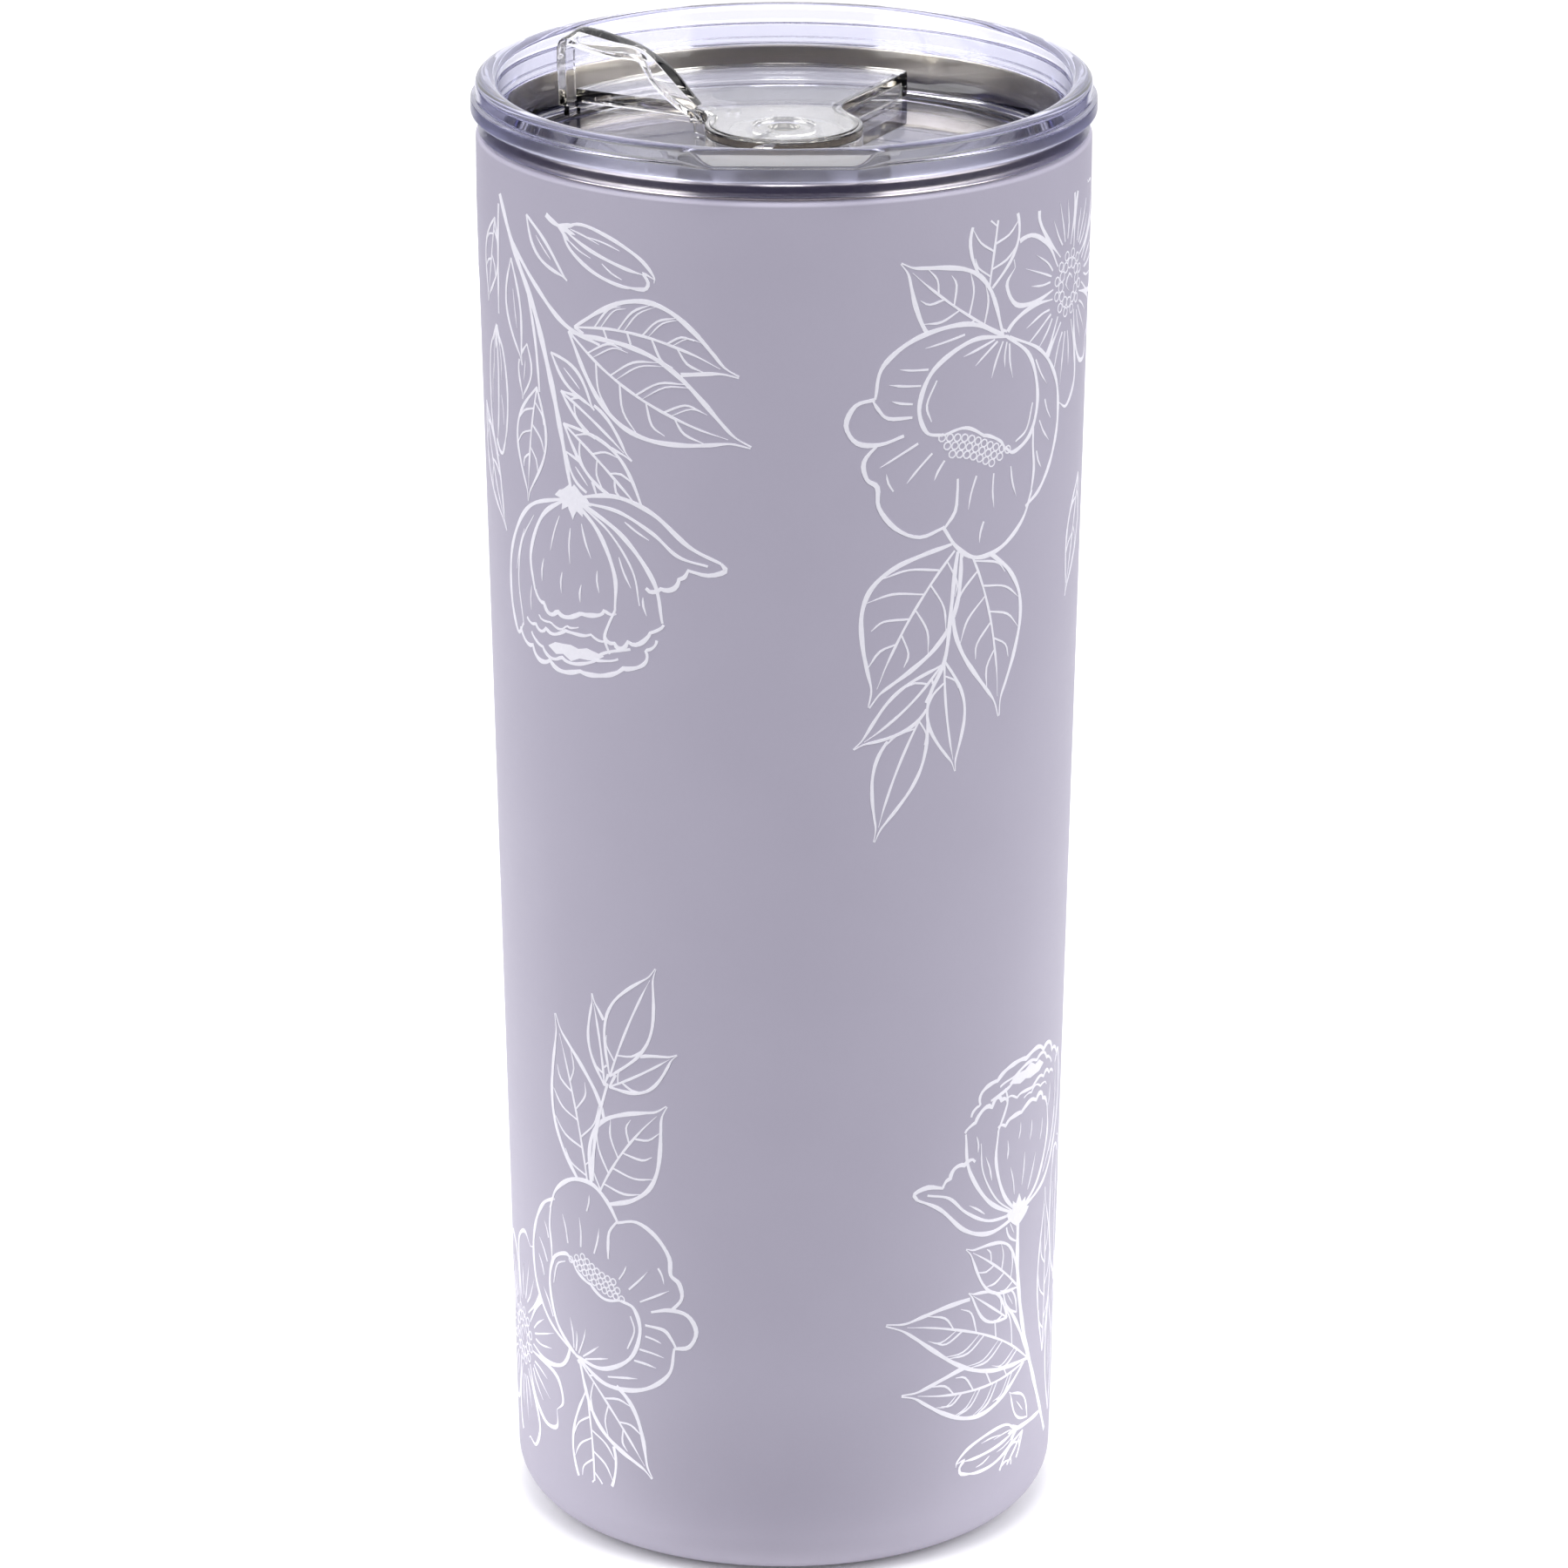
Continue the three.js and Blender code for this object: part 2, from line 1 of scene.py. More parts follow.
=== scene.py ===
"""Looks of an insulated tumbler: a painted steel cup with white botanical line art, a clear lid
and a clear swivel closure. Lengths are millimetres until a mesh is finished, then metres.
"""

import math

import bpy
from mathutils import Matrix, Vector


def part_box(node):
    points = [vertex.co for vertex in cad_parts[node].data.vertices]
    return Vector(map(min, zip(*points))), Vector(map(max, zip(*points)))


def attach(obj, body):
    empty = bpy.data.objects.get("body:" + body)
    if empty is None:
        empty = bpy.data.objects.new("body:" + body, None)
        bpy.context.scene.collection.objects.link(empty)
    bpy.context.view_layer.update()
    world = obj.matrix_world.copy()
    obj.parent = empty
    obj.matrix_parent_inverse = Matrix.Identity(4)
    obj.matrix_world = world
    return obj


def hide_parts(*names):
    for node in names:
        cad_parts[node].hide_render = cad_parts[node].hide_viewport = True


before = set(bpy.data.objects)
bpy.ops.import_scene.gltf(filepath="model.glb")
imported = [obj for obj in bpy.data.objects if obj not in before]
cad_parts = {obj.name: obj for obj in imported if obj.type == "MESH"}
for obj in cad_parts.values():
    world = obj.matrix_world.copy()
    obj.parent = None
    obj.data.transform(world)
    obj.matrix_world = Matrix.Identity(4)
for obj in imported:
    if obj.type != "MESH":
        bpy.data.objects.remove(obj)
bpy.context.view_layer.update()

MM = 0.001
SEGMENTS = 256
FOOT_SEGMENTS = 192
RING_SEGMENTS = 96


def box_mm(node):
    """Lowest and highest corner of a CAD node, in millimetres."""
    low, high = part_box(node)
    return low / MM, high / MM


shell_low, shell_high = box_mm("outer_shell")
liner_low, liner_high = box_mm("inner_liner")
lid_low, lid_high = box_mm("lid_body")
gasket_low, gasket_high = box_mm("lid_gasket")
flap_low, _ = box_mm("closure_flap")
pan_low, pan_high = box_mm("base_cap")
_, pad_high = box_mm("base_pad")
retainer_low, retainer_high = box_mm("pivot_retainer")
ring_low, ring_high = box_mm("pivot_o_ring")

# ---- cup ----
BODY_TOP_R = shell_high.x
BODY_BASE_R = 34.25
BODY_TOP_Z = shell_high.z
FOOT_Z = shell_low.z
STRAIGHT_H = 8
CORNER_R = 6
SHEET = 0.5
WALL_DEPTH = 2.2
NECK_R = 36.4
NECK_TOP_Z = liner_high.z
LINER_FLOOR_Z = liner_low.z + SHEET
CURL_R = 26

# ---- lid ----
FLANGE_R = lid_high.x
RIM_IN_R = 35.2
RIM_OUT_R = 37.8
RIM_BACK_Z = lid_high.z
RIM_FRONT_Z = RIM_BACK_Z - 1
CROWN_DROP = 0.5
FLANGE_TOP_Z = 184.1
FLANGE_LOW_Z = 182.4
SKIRT_R = 37.5
SKIRT_LOW_Z = 180.05
PLUG_R = 35.3
PLUG_LOW_Z = lid_low.z
FLOOR_TOP_Z = 176.8
FLOOR_LOW_Z = 174.8
TAB_HALF_W = 8.4
TAB_ROOT_HALF_W = 12.8
TAB_REACH_ANGLE = 21.6
DRINK_MID_R = 25.25
DRINK_HALF_W = 4.25
DRINK_HALF_ANGLE = 11
VENT_R = 1.1
VENT_AT_R = 17
VENT_AZIMUTH = 112
POST_HOLE_R = 2.3
POCKET_R = 4.2
POCKET_DEPTH = 0.9

# ---- closure ----
PLATE_TOP_Z = 180.25
HUB_TOP_Z = 180.4
PLATE_THICK = 1.3
CLOSURE_LOW_Z = 177.1
SKIRT_THICK = 1.1
HUB_R = 9.75
FAN_R = 32
ARM_EDGE_ANGLE = 63.8
ARM_EDGE_AT = Vector((7.05, 10.07))
FIN_AZIMUTH = 151.1
FIN_THICK = 4
FIN_WALL = 0.9
FIN_LOW_Z = 178.7
POST_R = 2
POST_LOW_Z = flap_low.z
KEY_AZIMUTH = 250
KEY_HALF_ANGLE = 9
OPEN_TURN = 62
STOP_SLACK = 5


# ==== Camera and studio, in metres and degrees ====

CAMERA_DISTANCE = 0.998
CAMERA_ELEVATION = 18.82
CAMERA_AIM_UP = 0.259           # the optical axis passes this many degrees above the aim point
CAMERA_LENS = 181.48
AIM = Vector((0, 0, 0.09))


def make_camera():
    camera = bpy.data.cameras.new("camera")
    camera.lens = CAMERA_LENS
    camera.clip_start = 0.05
    camera.clip_end = 30
    holder = bpy.data.objects.new("camera", camera)
    elevation = math.radians(CAMERA_ELEVATION)
    holder.location = AIM + CAMERA_DISTANCE * Vector((0, -math.cos(elevation), math.sin(elevation)))
    holder.rotation_euler = (math.radians(90 - CAMERA_ELEVATION + CAMERA_AIM_UP), 0, 0)
    bpy.context.scene.collection.objects.link(holder)
    bpy.context.scene.camera = holder


class Graph:
    """Short calls for adding nodes to a node tree."""

    def __init__(self, tree, shader=None):
        self.tree = tree
        self.shader = shader

    def add(self, kind, inputs=None, **settings):
        node = self.tree.nodes.new(kind)
        for name, value in settings.items():
            setattr(node, name, value)
        for socket, value in (inputs or {}).items():
            if isinstance(value, bpy.types.NodeSocket):
                self.tree.links.new(value, node.inputs[socket])
            else:
                node.inputs[socket].default_value = value
        return node

    def math(self, operation, first, second=0.0):
        return self.add("ShaderNodeMath", {0: first, 1: second}, operation=operation).outputs[0]

    def between(self, value, low, high, soft):
        """1 where value is between low and high, with soft edges."""
        rise = self.step(value, low - soft, low + soft)
        fall = self.step(value, high - soft, high + soft)
        return self.math("SUBTRACT", rise, fall)

    def step(self, value, start, end):
        """Rises from 0 at start to 1 at end."""
        return self.add("ShaderNodeMapRange", {"Value": value, "From Min": start, "From Max": end},
                        interpolation_type="SMOOTHSTEP").outputs["Result"]

    def ranged(self, value, low, high):
        node = self.add("ShaderNodeMapRange", {"Value": value, "To Min": low, "To Max": high})
        return node.outputs["Result"]

    def blend(self, share, first, second):
        mix = self.add("ShaderNodeMix", {"Factor": share, 6: first, 7: second}, data_type="RGBA")
        return mix.outputs[2]

    def tinted(self, share, dark, light):
        """A colour between dark and light."""
        return self.blend(share, (*dark, 1), (*light, 1))

    def place(self):
        return self.add("ShaderNodeTexCoord").outputs["Object"]

    def polar(self, coordinates):
        """(distance from the Z axis, angle about it, height) of a coordinate socket."""
        split = self.add("ShaderNodeSeparateXYZ", {0: coordinates})
        x, y, z = split.outputs
        radius = self.math("SQRT", self.math("ADD", self.math("MULTIPLY", x, x),
                                             self.math("MULTIPLY", y, y)))
        return radius, self.math("ARCTAN2", y, x), z

    def noise(self, vector, scale, detail=2.0):
        node = self.add("ShaderNodeTexNoise", {"Vector": vector, "Scale": scale, "Detail": detail})
        return node.outputs["Fac"]

    def drive(self, socket, value):
        """Links a value to a socket of the material's shader."""
        self.tree.links.new(value, self.shader.inputs[socket])

    def bump(self, height, depth_mm, strength):
        """Gives the shader a relief of the given depth."""
        bump = self.add("ShaderNodeBump", {"Height": height, "Distance": depth_mm * MM,
                                           "Strength": strength})
        self.drive("Normal", bump.outputs["Normal"])


# Light zones round the object: angle from the camera's side (from, to), elevation (from, to),
# edge softness, strength.
# The studio is dark behind the camera. It has a tall soft box on each side, a white backdrop, soft
# light from above and a narrow strip over the camera.
LIGHT_ZONES = [
    (38, 92, 0, 58, 2.5, 4.7),
    (156, 200, -90, 3, 4, 1.4),
    (92, 200, 44, 62, 3, 1.2),
    (134, 200, 3, 46, 3, 1.6),
    (-10, 200, 62, 100, 5, 1.4),
    (-10, 20, 56, 78, 2, 9.0),
]
DARK_SIDE = (0.055, 0.052, 0.095)
BACKDROP_STRENGTH = 1.5         # what the camera itself sees of the backdrop
FLOOR_R = 0.33
FLOOR_IN_FRONT = 0.04           # how far the floor reaches in front of the cup's axis
FLOOR_SIDES = 256
GLASS_BOUNCES = 28


def make_studio():
    world = bpy.data.worlds.new("studio")
    world.use_nodes = True
    bpy.context.scene.world = world
    graph = Graph(world.node_tree)
    world.node_tree.nodes.clear()
    direction = graph.add("ShaderNodeTexCoord").outputs["Generated"]
    x, y, z = graph.add("ShaderNodeSeparateXYZ", {0: direction}).outputs
    side = graph.math("ARCTAN2", graph.math("ABSOLUTE", x), graph.math("MULTIPLY", y, -1))
    side = graph.math("DEGREES", side)
    elevation = graph.math("DEGREES", graph.math("ARCSINE", z))
    light = 0.0
    for near, far, low, high, soft, strength in LIGHT_ZONES:
        zone = graph.math("MULTIPLY", graph.between(side, near, far, soft),
                          graph.between(elevation, low, high, soft))
        light = graph.math("ADD", graph.math("MULTIPLY", zone, strength), light)
    lamps = graph.add("ShaderNodeBackground", {"Strength": light})
    dark = graph.add("ShaderNodeBackground", {"Color": (*DARK_SIDE, 1)})
    background = graph.add("ShaderNodeAddShader", {0: lamps.outputs[0], 1: dark.outputs[0]})
    seen = graph.add("ShaderNodeBackground", {"Strength": BACKDROP_STRENGTH})
    path = graph.add("ShaderNodeLightPath")
    mix = graph.add("ShaderNodeMixShader", {0: path.outputs["Is Camera Ray"],
                                            1: background.outputs[0], 2: seen.outputs[0]})
    graph.add("ShaderNodeOutputWorld", {"Surface": mix.outputs[0]})


def make_floor():
    mesh = bpy.data.meshes.new("floor")
    corners = [(FLOOR_R * math.cos(a), FLOOR_R * math.sin(a) + FLOOR_R - FLOOR_IN_FRONT, 0)
               for a in (math.tau * i / FLOOR_SIDES for i in range(FLOOR_SIDES))]
    mesh.from_pydata(corners, [], [list(range(FLOOR_SIDES))])
    floor = bpy.data.objects.new("floor", mesh)
    bpy.context.scene.collection.objects.link(floor)
    material, graph = new_material("floor_white", {"Roughness": 0.9, "Specular IOR Level": 0.1})
    graph.drive("Base Color", graph.ranged(graph.noise(graph.place(), 3), 0.95, 0.97))
    mesh.materials.append(material)


# ==== Materials ====

WALL_TINTS = (0.444, 0.42, 0.503), (0.496, 0.472, 0.559)
# Painted shade: the paint is darker near the foot and lightens with height.
FOOT_PAINTED_SHADE_TINTS = (0.347, 0.325, 0.395), (0.393, 0.371, 0.445)
FOOT_PAINTED_SHADE_H = 0.03              # the painted shade fades into the wall's own tint by this height, in metres
STEEL_EDGE_TINT = (0.25, 0.24, 0.45, 1)
POLISHED_SHARE = 0.3            # roughness of the polished part, as a share of the brushed part's
SATIN_ROUGHNESS = 0.28
# painted shade: the darker violet tint of the lid's satin faces
SATIN_PAINTED_SHADE_TINT = (0.75, 0.75, 0.85)


def new_material(name, values):
    """A material whose Principled shader has the given plain values."""
    material = bpy.data.materials.new(name)
    material.use_nodes = True
    shader = material.node_tree.nodes["Principled BSDF"]
    for socket, value in values.items():
        shader.inputs[socket].default_value = value
    return material, Graph(material.node_tree, shader)


def powder_coat():
    material, graph = new_material("powder_coat", {
        "Roughness": 0.5, "Specular IOR Level": 0.4, "Coat Weight": 0.12, "Coat Roughness": 0.35})
    place = graph.place()
    _, angle, height = graph.polar(place)
    cloud = graph.noise(place, 60, 3)
    grain = graph.noise(place, 2600, 2)
    tone = graph.math("ADD", graph.math("MULTIPLY", cloud, 0.7), graph.math("MULTIPLY", grain, 0.3))
    # painted shade: the paint is darker towards the foot
    graph.drive("Base Color", graph.blend(graph.step(height, 0, FOOT_PAINTED_SHADE_H),
                                          graph.tinted(tone, *FOOT_PAINTED_SHADE_TINTS),
                                          graph.tinted(tone, *WALL_TINTS)))
    rings = graph.add("ShaderNodeCombineXYZ", {0: graph.math("MULTIPLY", angle, 0.01), 2: height})
    streaks = graph.noise(rings.outputs[0], 900, 3)
    graph.drive("Roughness", graph.ranged(graph.math("ADD", grain, streaks), 0.36, 0.6))
    graph.bump(graph.math("ADD", graph.math("MULTIPLY", streaks, 0.25), grain), 0.02, 0.35)
    return material


def grained(name, values, dark, light, scale, detail, depth_mm, strength):
    """A material of two tints and a relief that follow the same fine noise."""
    material, graph = new_material(name, values)
    grain = graph.noise(graph.place(), scale, detail)
    graph.drive("Base Color", graph.tinted(grain, dark, light))
    graph.bump(grain, depth_mm, strength)
    return material


def white_ink():
    return grained("white_ink", {"Roughness": 0.5, "Specular IOR Level": 0.4},
                   (0.86, 0.85, 0.90), (0.95, 0.94, 0.98), 1800, 2, 0.01, 0.4)


def silicone(name, dark, light, roughness, transmission=0.0):
    return grained(name, {
        "Roughness": roughness, "Specular IOR Level": 0.35, "Transmission Weight": transmission,
        "Subsurface Weight": 0.15, "Subsurface Radius": (0.001, 0.001, 0.001)},
        dark, light, 1500, 3, 0.02, 0.5)


def speckled(name, dark, light, roughness, metallic, scale):
    return grained(name, {"Roughness": roughness, "Metallic": metallic},
                   dark, light, scale, 4, 0.05, 0.6)


def turned_metal(name, dark, light, roughness, lines_per_mm, polished_from):
    """Metal with fine circular brushing about the Z axis, smoother outside a radius in mm."""
    material, graph = new_material(name, {
        "Metallic": 1.0, "Anisotropic": 0.5, "Specular Tint": STEEL_EDGE_TINT})
    place = graph.place()
    radius, angle, height = graph.polar(place)
    along = graph.add("ShaderNodeCombineXYZ", {
        0: radius, 1: height, 2: graph.math("MULTIPLY", angle, 0.002)})
    lines = graph.noise(along.outputs[0], lines_per_mm / MM, 4)
    graph.drive("Base Color", graph.tinted(graph.noise(place, 90, 2), dark, light))
    edge = graph.step(radius, (polished_from - 0.1) * MM, (polished_from + 0.1) * MM)
    graph.drive("Roughness", graph.math(
        "MULTIPLY", graph.ranged(lines, roughness - 0.06, roughness + 0.06),
        graph.ranged(edge, 1.0, POLISHED_SHARE)))
    graph.bump(lines, 0.01, 0.35)
    graph.drive("Tangent", graph.add("ShaderNodeTangent", direction_type="RADIAL",
                                     axis="Z").outputs[0])
    return material


def clear_plastic(name, tint, density, roughness, waviness_mm, satin_and_shade=None):
    """Clear moulded plastic with faint flow waves; long ways through it take on the tint.

    Faces outside the radius and below the height given in mm by the last argument have a satin
    finish and a darker violet tint, which is painted shade.
    """
    material, graph = new_material(name, {
        "Base Color": (1, 1, 1, 1), "Transmission Weight": 1.0, "IOR": 1.54,
        "Roughness": roughness})
    place = graph.place()
    if satin_and_shade:
        radius, _, height = graph.polar(place)
        outside, above = (graph.step(value, (limit - 0.05) * MM, limit * MM)
                          for value, limit in zip((radius, height), satin_and_shade))
        share = graph.math("SUBTRACT", outside, graph.math("MULTIPLY", outside, above))
        graph.drive("Roughness", graph.ranged(share, roughness, SATIN_ROUGHNESS))
        # painted shade: the satin faces are tinted darker violet
        graph.drive("Base Color", graph.tinted(share, (1, 1, 1), SATIN_PAINTED_SHADE_TINT))
    graph.bump(graph.noise(place, 140, 1), waviness_mm, 1.0)
    absorption = graph.add("ShaderNodeVolumeAbsorption", {"Color": (*tint, 1), "Density": density})
    output = graph.tree.nodes["Material Output"]
    graph.tree.links.new(absorption.outputs[0], output.inputs["Volume"])
    return material


def foil():
    material, graph = new_material("copper_foil", {"Metallic": 1.0})
    creases = graph.noise(graph.place(), 160, 6)
    graph.drive("Base Color", graph.tinted(creases, (0.62, 0.33, 0.20), (0.85, 0.52, 0.36)))
    graph.drive("Roughness", graph.ranged(creases, 0.2, 0.4))
    graph.bump(creases, 0.3, 0.6)
    return material


# ==== Mesh building ====

def mesh_object(name, vertices, faces):
    mesh = bpy.data.meshes.new(name)
    mesh.from_pydata([tuple(v) for v in vertices], [], faces)
    piece = bpy.data.objects.new(name, mesh)
    bpy.context.scene.collection.objects.link(piece)
    return piece


def finish(piece, material, body, slot, *replaced, crease=32):
    """Turns a mesh in millimetres into a finished piece that rides on a body."""
    mesh = piece.data
    mesh.transform(Matrix.Scale(MM, 4))
    mesh.polygons.foreach_set("use_smooth", [True] * len(mesh.polygons))
    mesh.set_sharp_from_angle(angle=math.radians(crease))
    mesh.materials.clear()
    mesh.materials.append(material)
    mesh.update()
    flatten = piece.modifiers.new("large faces stay flat", "WEIGHTED_NORMAL")
    flatten.keep_sharp = True
    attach(piece, body)
    if replaced:
        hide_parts(*replaced)


def joined(target, operation, *others):
    """Adds the other solids to the target, or cuts them out of it."""
    for other in others:
        modifier = target.modifiers.new("join", "BOOLEAN")
        modifier.operation = operation
        modifier.solver = "EXACT"
        modifier.object = other
    bpy.context.view_layer.update()
    evaluated = target.evaluated_get(bpy.context.evaluated_depsgraph_get())
    mesh = bpy.data.meshes.new_from_object(evaluated)
    target.modifiers.clear()
    target.data = mesh
    for other in others:
        bpy.data.objects.remove(other)


def polar(radius, azimuth):
    return Vector((radius * math.cos(math.radians(azimuth)),
                   radius * math.sin(math.radians(azimuth))))


def arc_points(radius, start, end, steps, centre=Vector((0, 0))):
    return [centre + polar(radius, start + (end - start) * i / steps) for i in range(steps + 1)]


def azimuth_of(point):
    return math.degrees(math.atan2(point.y, point.x))


def corner_arc(before, at, after, radius, steps):
    """Points of the arc that rounds the corner at a point."""
    into = (before - at).normalized()
    out = (after - at).normalized()
    half = into.angle(out) / 2
    if half > math.radians(89):
        return [at]
    reach = min(radius / math.tan(half), 0.98 * (before - at).length, 0.98 * (after - at).length)
    radius = reach * math.tan(half)
    centre = at + (into + out).normalized() * (radius / math.sin(half))
    start = azimuth_of(at + into * reach - centre)
    turn = (azimuth_of(at + out * reach - centre) - start + 180) % 360 - 180
    return arc_points(radius, start, start + turn, steps, centre)


def rounded(corners, steps=4, closed=True):
    """Outline through (r, z) corners; a third number rounds that corner by that radius."""
    points = []
    count = len(corners)
    for i, corner in enumerate(corners):
        at = Vector(corner[:2])
        inside = closed or 0 < i < count - 1
        if len(corner) < 3 or not inside:
            points.append(at)
            continue
        before = Vector(corners[i - 1][:2])
        after = Vector(corners[(i + 1) % count][:2])
        points += corner_arc(before, at, after, corner[2], steps)
    return points


def swept(name, profiles, angles):
    """Body of revolution about Z whose profile may change with the angle.

    Every profile runs anticlockwise. It closes on itself, or starts and ends on the axis.
    """
    on_axis = abs(profiles[0][0][0]) < 1e-9
    vertices = []
    faces = []
    columns = len(angles)
    rows = len(profiles[0])
    ring_rows = range(1, rows - 1) if on_axis else range(rows)
    for row in ring_rows:
        for profile, angle in zip(profiles, angles):
            r, z = profile[row]
            vertices.append((r * math.cos(angle), r * math.sin(angle), z))
    rings = len(ring_rows)
    for i in range(rings if not on_axis else rings - 1):
        for j in range(columns):
            here = i * columns
            above = (i + 1) % rings * columns
            nearby = (j + 1) % columns
            faces.append((here + j, here + nearby, above + nearby, above + j))
    if on_axis:
        first = len(vertices)
        vertices.append((0, 0, profiles[0][0][1]))
        vertices.append((0, 0, profiles[0][-1][1]))
        last_ring = (rings - 1) * columns
        for j in range(columns):
            nearby = (j + 1) % columns
            faces.append((first, nearby, j))
            faces.append((first + 1, last_ring + j, last_ring + nearby))
    return mesh_object(name, vertices, faces)


def lathe(name, profile, segments):
    angles = [math.tau * i / segments for i in range(segments)]
    return swept(name, [profile] * segments, angles)


def revolved(name, corners, steps, segments, closed, *finished):
    """A finished piece: the rounded section, turned about Z."""
    finish(lathe(name, rounded(corners, steps, closed), segments), *finished)


def loft(name, loops):
    """Closed body through loops of points, capped at both ends."""
    count = len(loops[0])
    vertices = [point for loop in loops for point in loop]
    faces = [list(range(count))[::-1]]
    for i in range(len(loops) - 1):
        for j in range(count):
            nearby = (j + 1) % count
            faces.append((i * count + j, i * count + nearby,
                          (i + 1) * count + nearby, (i + 1) * count + j))
    last = (len(loops) - 1) * count
    faces.append([last + j for j in range(count)])
    return mesh_object(name, vertices, faces)


def smoothed(points, steps):
    """Catmull-Rom curve through points."""
    points = [Vector(p) for p in points]
    ends = [points[0] * 2 - points[1]] + points + [points[-1] * 2 - points[-2]]
    curve = []
    for a, b, c, d in zip(ends, ends[1:], ends[2:], ends[3:]):
        for i in range(steps):
            t = i / steps
            curve.append(0.5 * (2 * b + (c - a) * t + (2 * a - 5 * b + 4 * c - d) * t * t
                                + (3 * b - 3 * c + d - a) * t ** 3))
    return curve + [points[-1]]


def smooth_step(value):
    value = min(max(value, 0.0), 1.0)
    return value * value * (3 - 2 * value)


# ==== Cup ====

CONE_TOP_Z = BODY_TOP_Z - STRAIGHT_H
CONE_LOW_Z = FOOT_Z + CORNER_R
CONE_SLOPE = (BODY_TOP_R - BODY_BASE_R) / (CONE_TOP_Z - CONE_LOW_Z)


def shell_radius(z):
    return BODY_BASE_R + CONE_SLOPE * (min(z, CONE_TOP_Z) - CONE_LOW_Z)


def painted_shell(coat):
    inner_top_r = BODY_TOP_R - SHEET
    foot_r = shell_radius(FOOT_Z)
    revolved("painted_shell", [
        (CURL_R, FOOT_Z + 4.6),
        (CURL_R, FOOT_Z, 0.6),
        (foot_r, FOOT_Z, CORNER_R),
        (BODY_TOP_R, CONE_TOP_Z),
        (BODY_TOP_R, BODY_TOP_Z, 0.5),
        (NECK_R + 0.03, BODY_TOP_Z, 0.1),
        (NECK_R + 0.03, BODY_TOP_Z - SHEET),
        (inner_top_r, BODY_TOP_Z - 2 * SHEET, 0.3),
        (inner_top_r, CONE_TOP_Z),
        (foot_r - SHEET, FOOT_Z + SHEET, CORNER_R - SHEET),
        (CURL_R + SHEET, FOOT_Z + SHEET, 0.3),
        (CURL_R + SHEET, FOOT_Z + 4.6),
    ], 10, SEGMENTS, True, coat, "cup", "powder_coat", "outer_shell")


def steel_liner(steel):
    wall = BODY_TOP_R - WALL_DEPTH
    low_r = shell_radius(LINER_FLOOR_Z) - WALL_DEPTH
    revolved("steel_liner", [
        (0, LINER_FLOOR_Z - SHEET),
        (low_r + SHEET, LINER_FLOOR_Z - SHEET, 6.5),
        (wall + SHEET, CONE_TOP_Z),
        (wall + SHEET, BODY_TOP_Z - 3, 0.3),
        (NECK_R, BODY_TOP_Z - 2.6, 0.3),
        (NECK_R, NECK_TOP_Z, 0.38),
        (wall, NECK_TOP_Z, 0.38),
        (wall, CONE_TOP_Z),
        (low_r, LINER_FLOOR_Z, 6),
        (12, LINER_FLOOR_Z, 8),
        (9, LINER_FLOOR_Z + 0.35, 8),
        (0, LINER_FLOOR_Z + 0.35),
    ], 8, SEGMENTS, False, steel, "cup", "brushed_steel", "inner_liner")


def foot_pan(steel):
    r = pan_high.x
    low = pan_low.z
    revolved("foot_pan", [
        (0, low + 0.3),
        (6, low + 0.3, 1),
        (6.6, low, 1),
        (r, low, 0.7),
        (r, pan_high.z, 0.15),
        (r - SHEET, pan_high.z, 0.15),
        (r - SHEET, low + SHEET, 0.4),
        (6.9, low + SHEET, 1),
        (6.3, low + SHEET + 0.3, 1),
        (0, low + SHEET + 0.3),
    ], 5, FOOT_SEGMENTS, False, steel, "cup", "brushed_steel", "base_cap")


def foot_pad(rubber):
    r = pad_high.x
    depth = 0.5
    profile = [(0, 0)]
    for middle in (13, 19):
        profile += [(middle - 1, 0, 0.15), (middle - 0.7, depth, 0.15),
                    (middle + 0.7, depth, 0.15), (middle + 1, 0, 0.15)]
    profile += [(r, 0, 0.5), (r, pad_high.z, 0.2), (0, pad_high.z)]
    revolved("foot_pad", profile, 5, FOOT_SEGMENTS, False,
             rubber, "cup", "pad_silicone", "base_pad")


# ==== Line art ====

ART_R = 36                      # the drawing plane wraps round the cup at this radius
ART_LOW_Z = 9.7
ART_TOP_Z = 175.4
INK_UP = 0.024                  # height of the ink above the paint
INK_DOWN = 0.012                # and how far it reaches into it
PEN_STEP = 0.9                  # longest step along a stroke

# pen widths
BOLD = 0.56
PLAIN = 0.42
FINE = 0.26
HAIR = 0.18

ANEMONE_PETALS = 7


def spot(azimuth, z):
    """Point of the drawing plane at an azimuth from the front, in degrees, and a height."""
    return Vector((math.radians(azimuth) * ART_R, z))


def turned(origin, angle, size, flip=1):
    """Map from a motif's own plane, in hundredths of its size, with +y along the angle."""
    up = polar(size / 100, angle)
    right = Vector((up.y, -up.x)) * flip
    return lambda point: origin + right * point[0] + up * point[1]


def spanned(root, tip, parts, flip=1):
    """Map that takes (0, 0) to the root and (0, parts) to the tip."""
    gap = spot(*tip) - spot(*root)
    return turned(spot(*root), azimuth_of(gap), 100 / parts * gap.length, flip)


def within(point, outline):
    """Whether a point is inside a closed outline."""
    inside = False
    before = outline[-1]
    for corner in outline:
        if (corner.y > point.y) != (before.y > point.y):
            share = (point.y - corner.y) / (before.y - corner.y)
            if point.x < corner.x + share * (before.x - corner.x):
                inside = not inside
        before = corner
    return inside


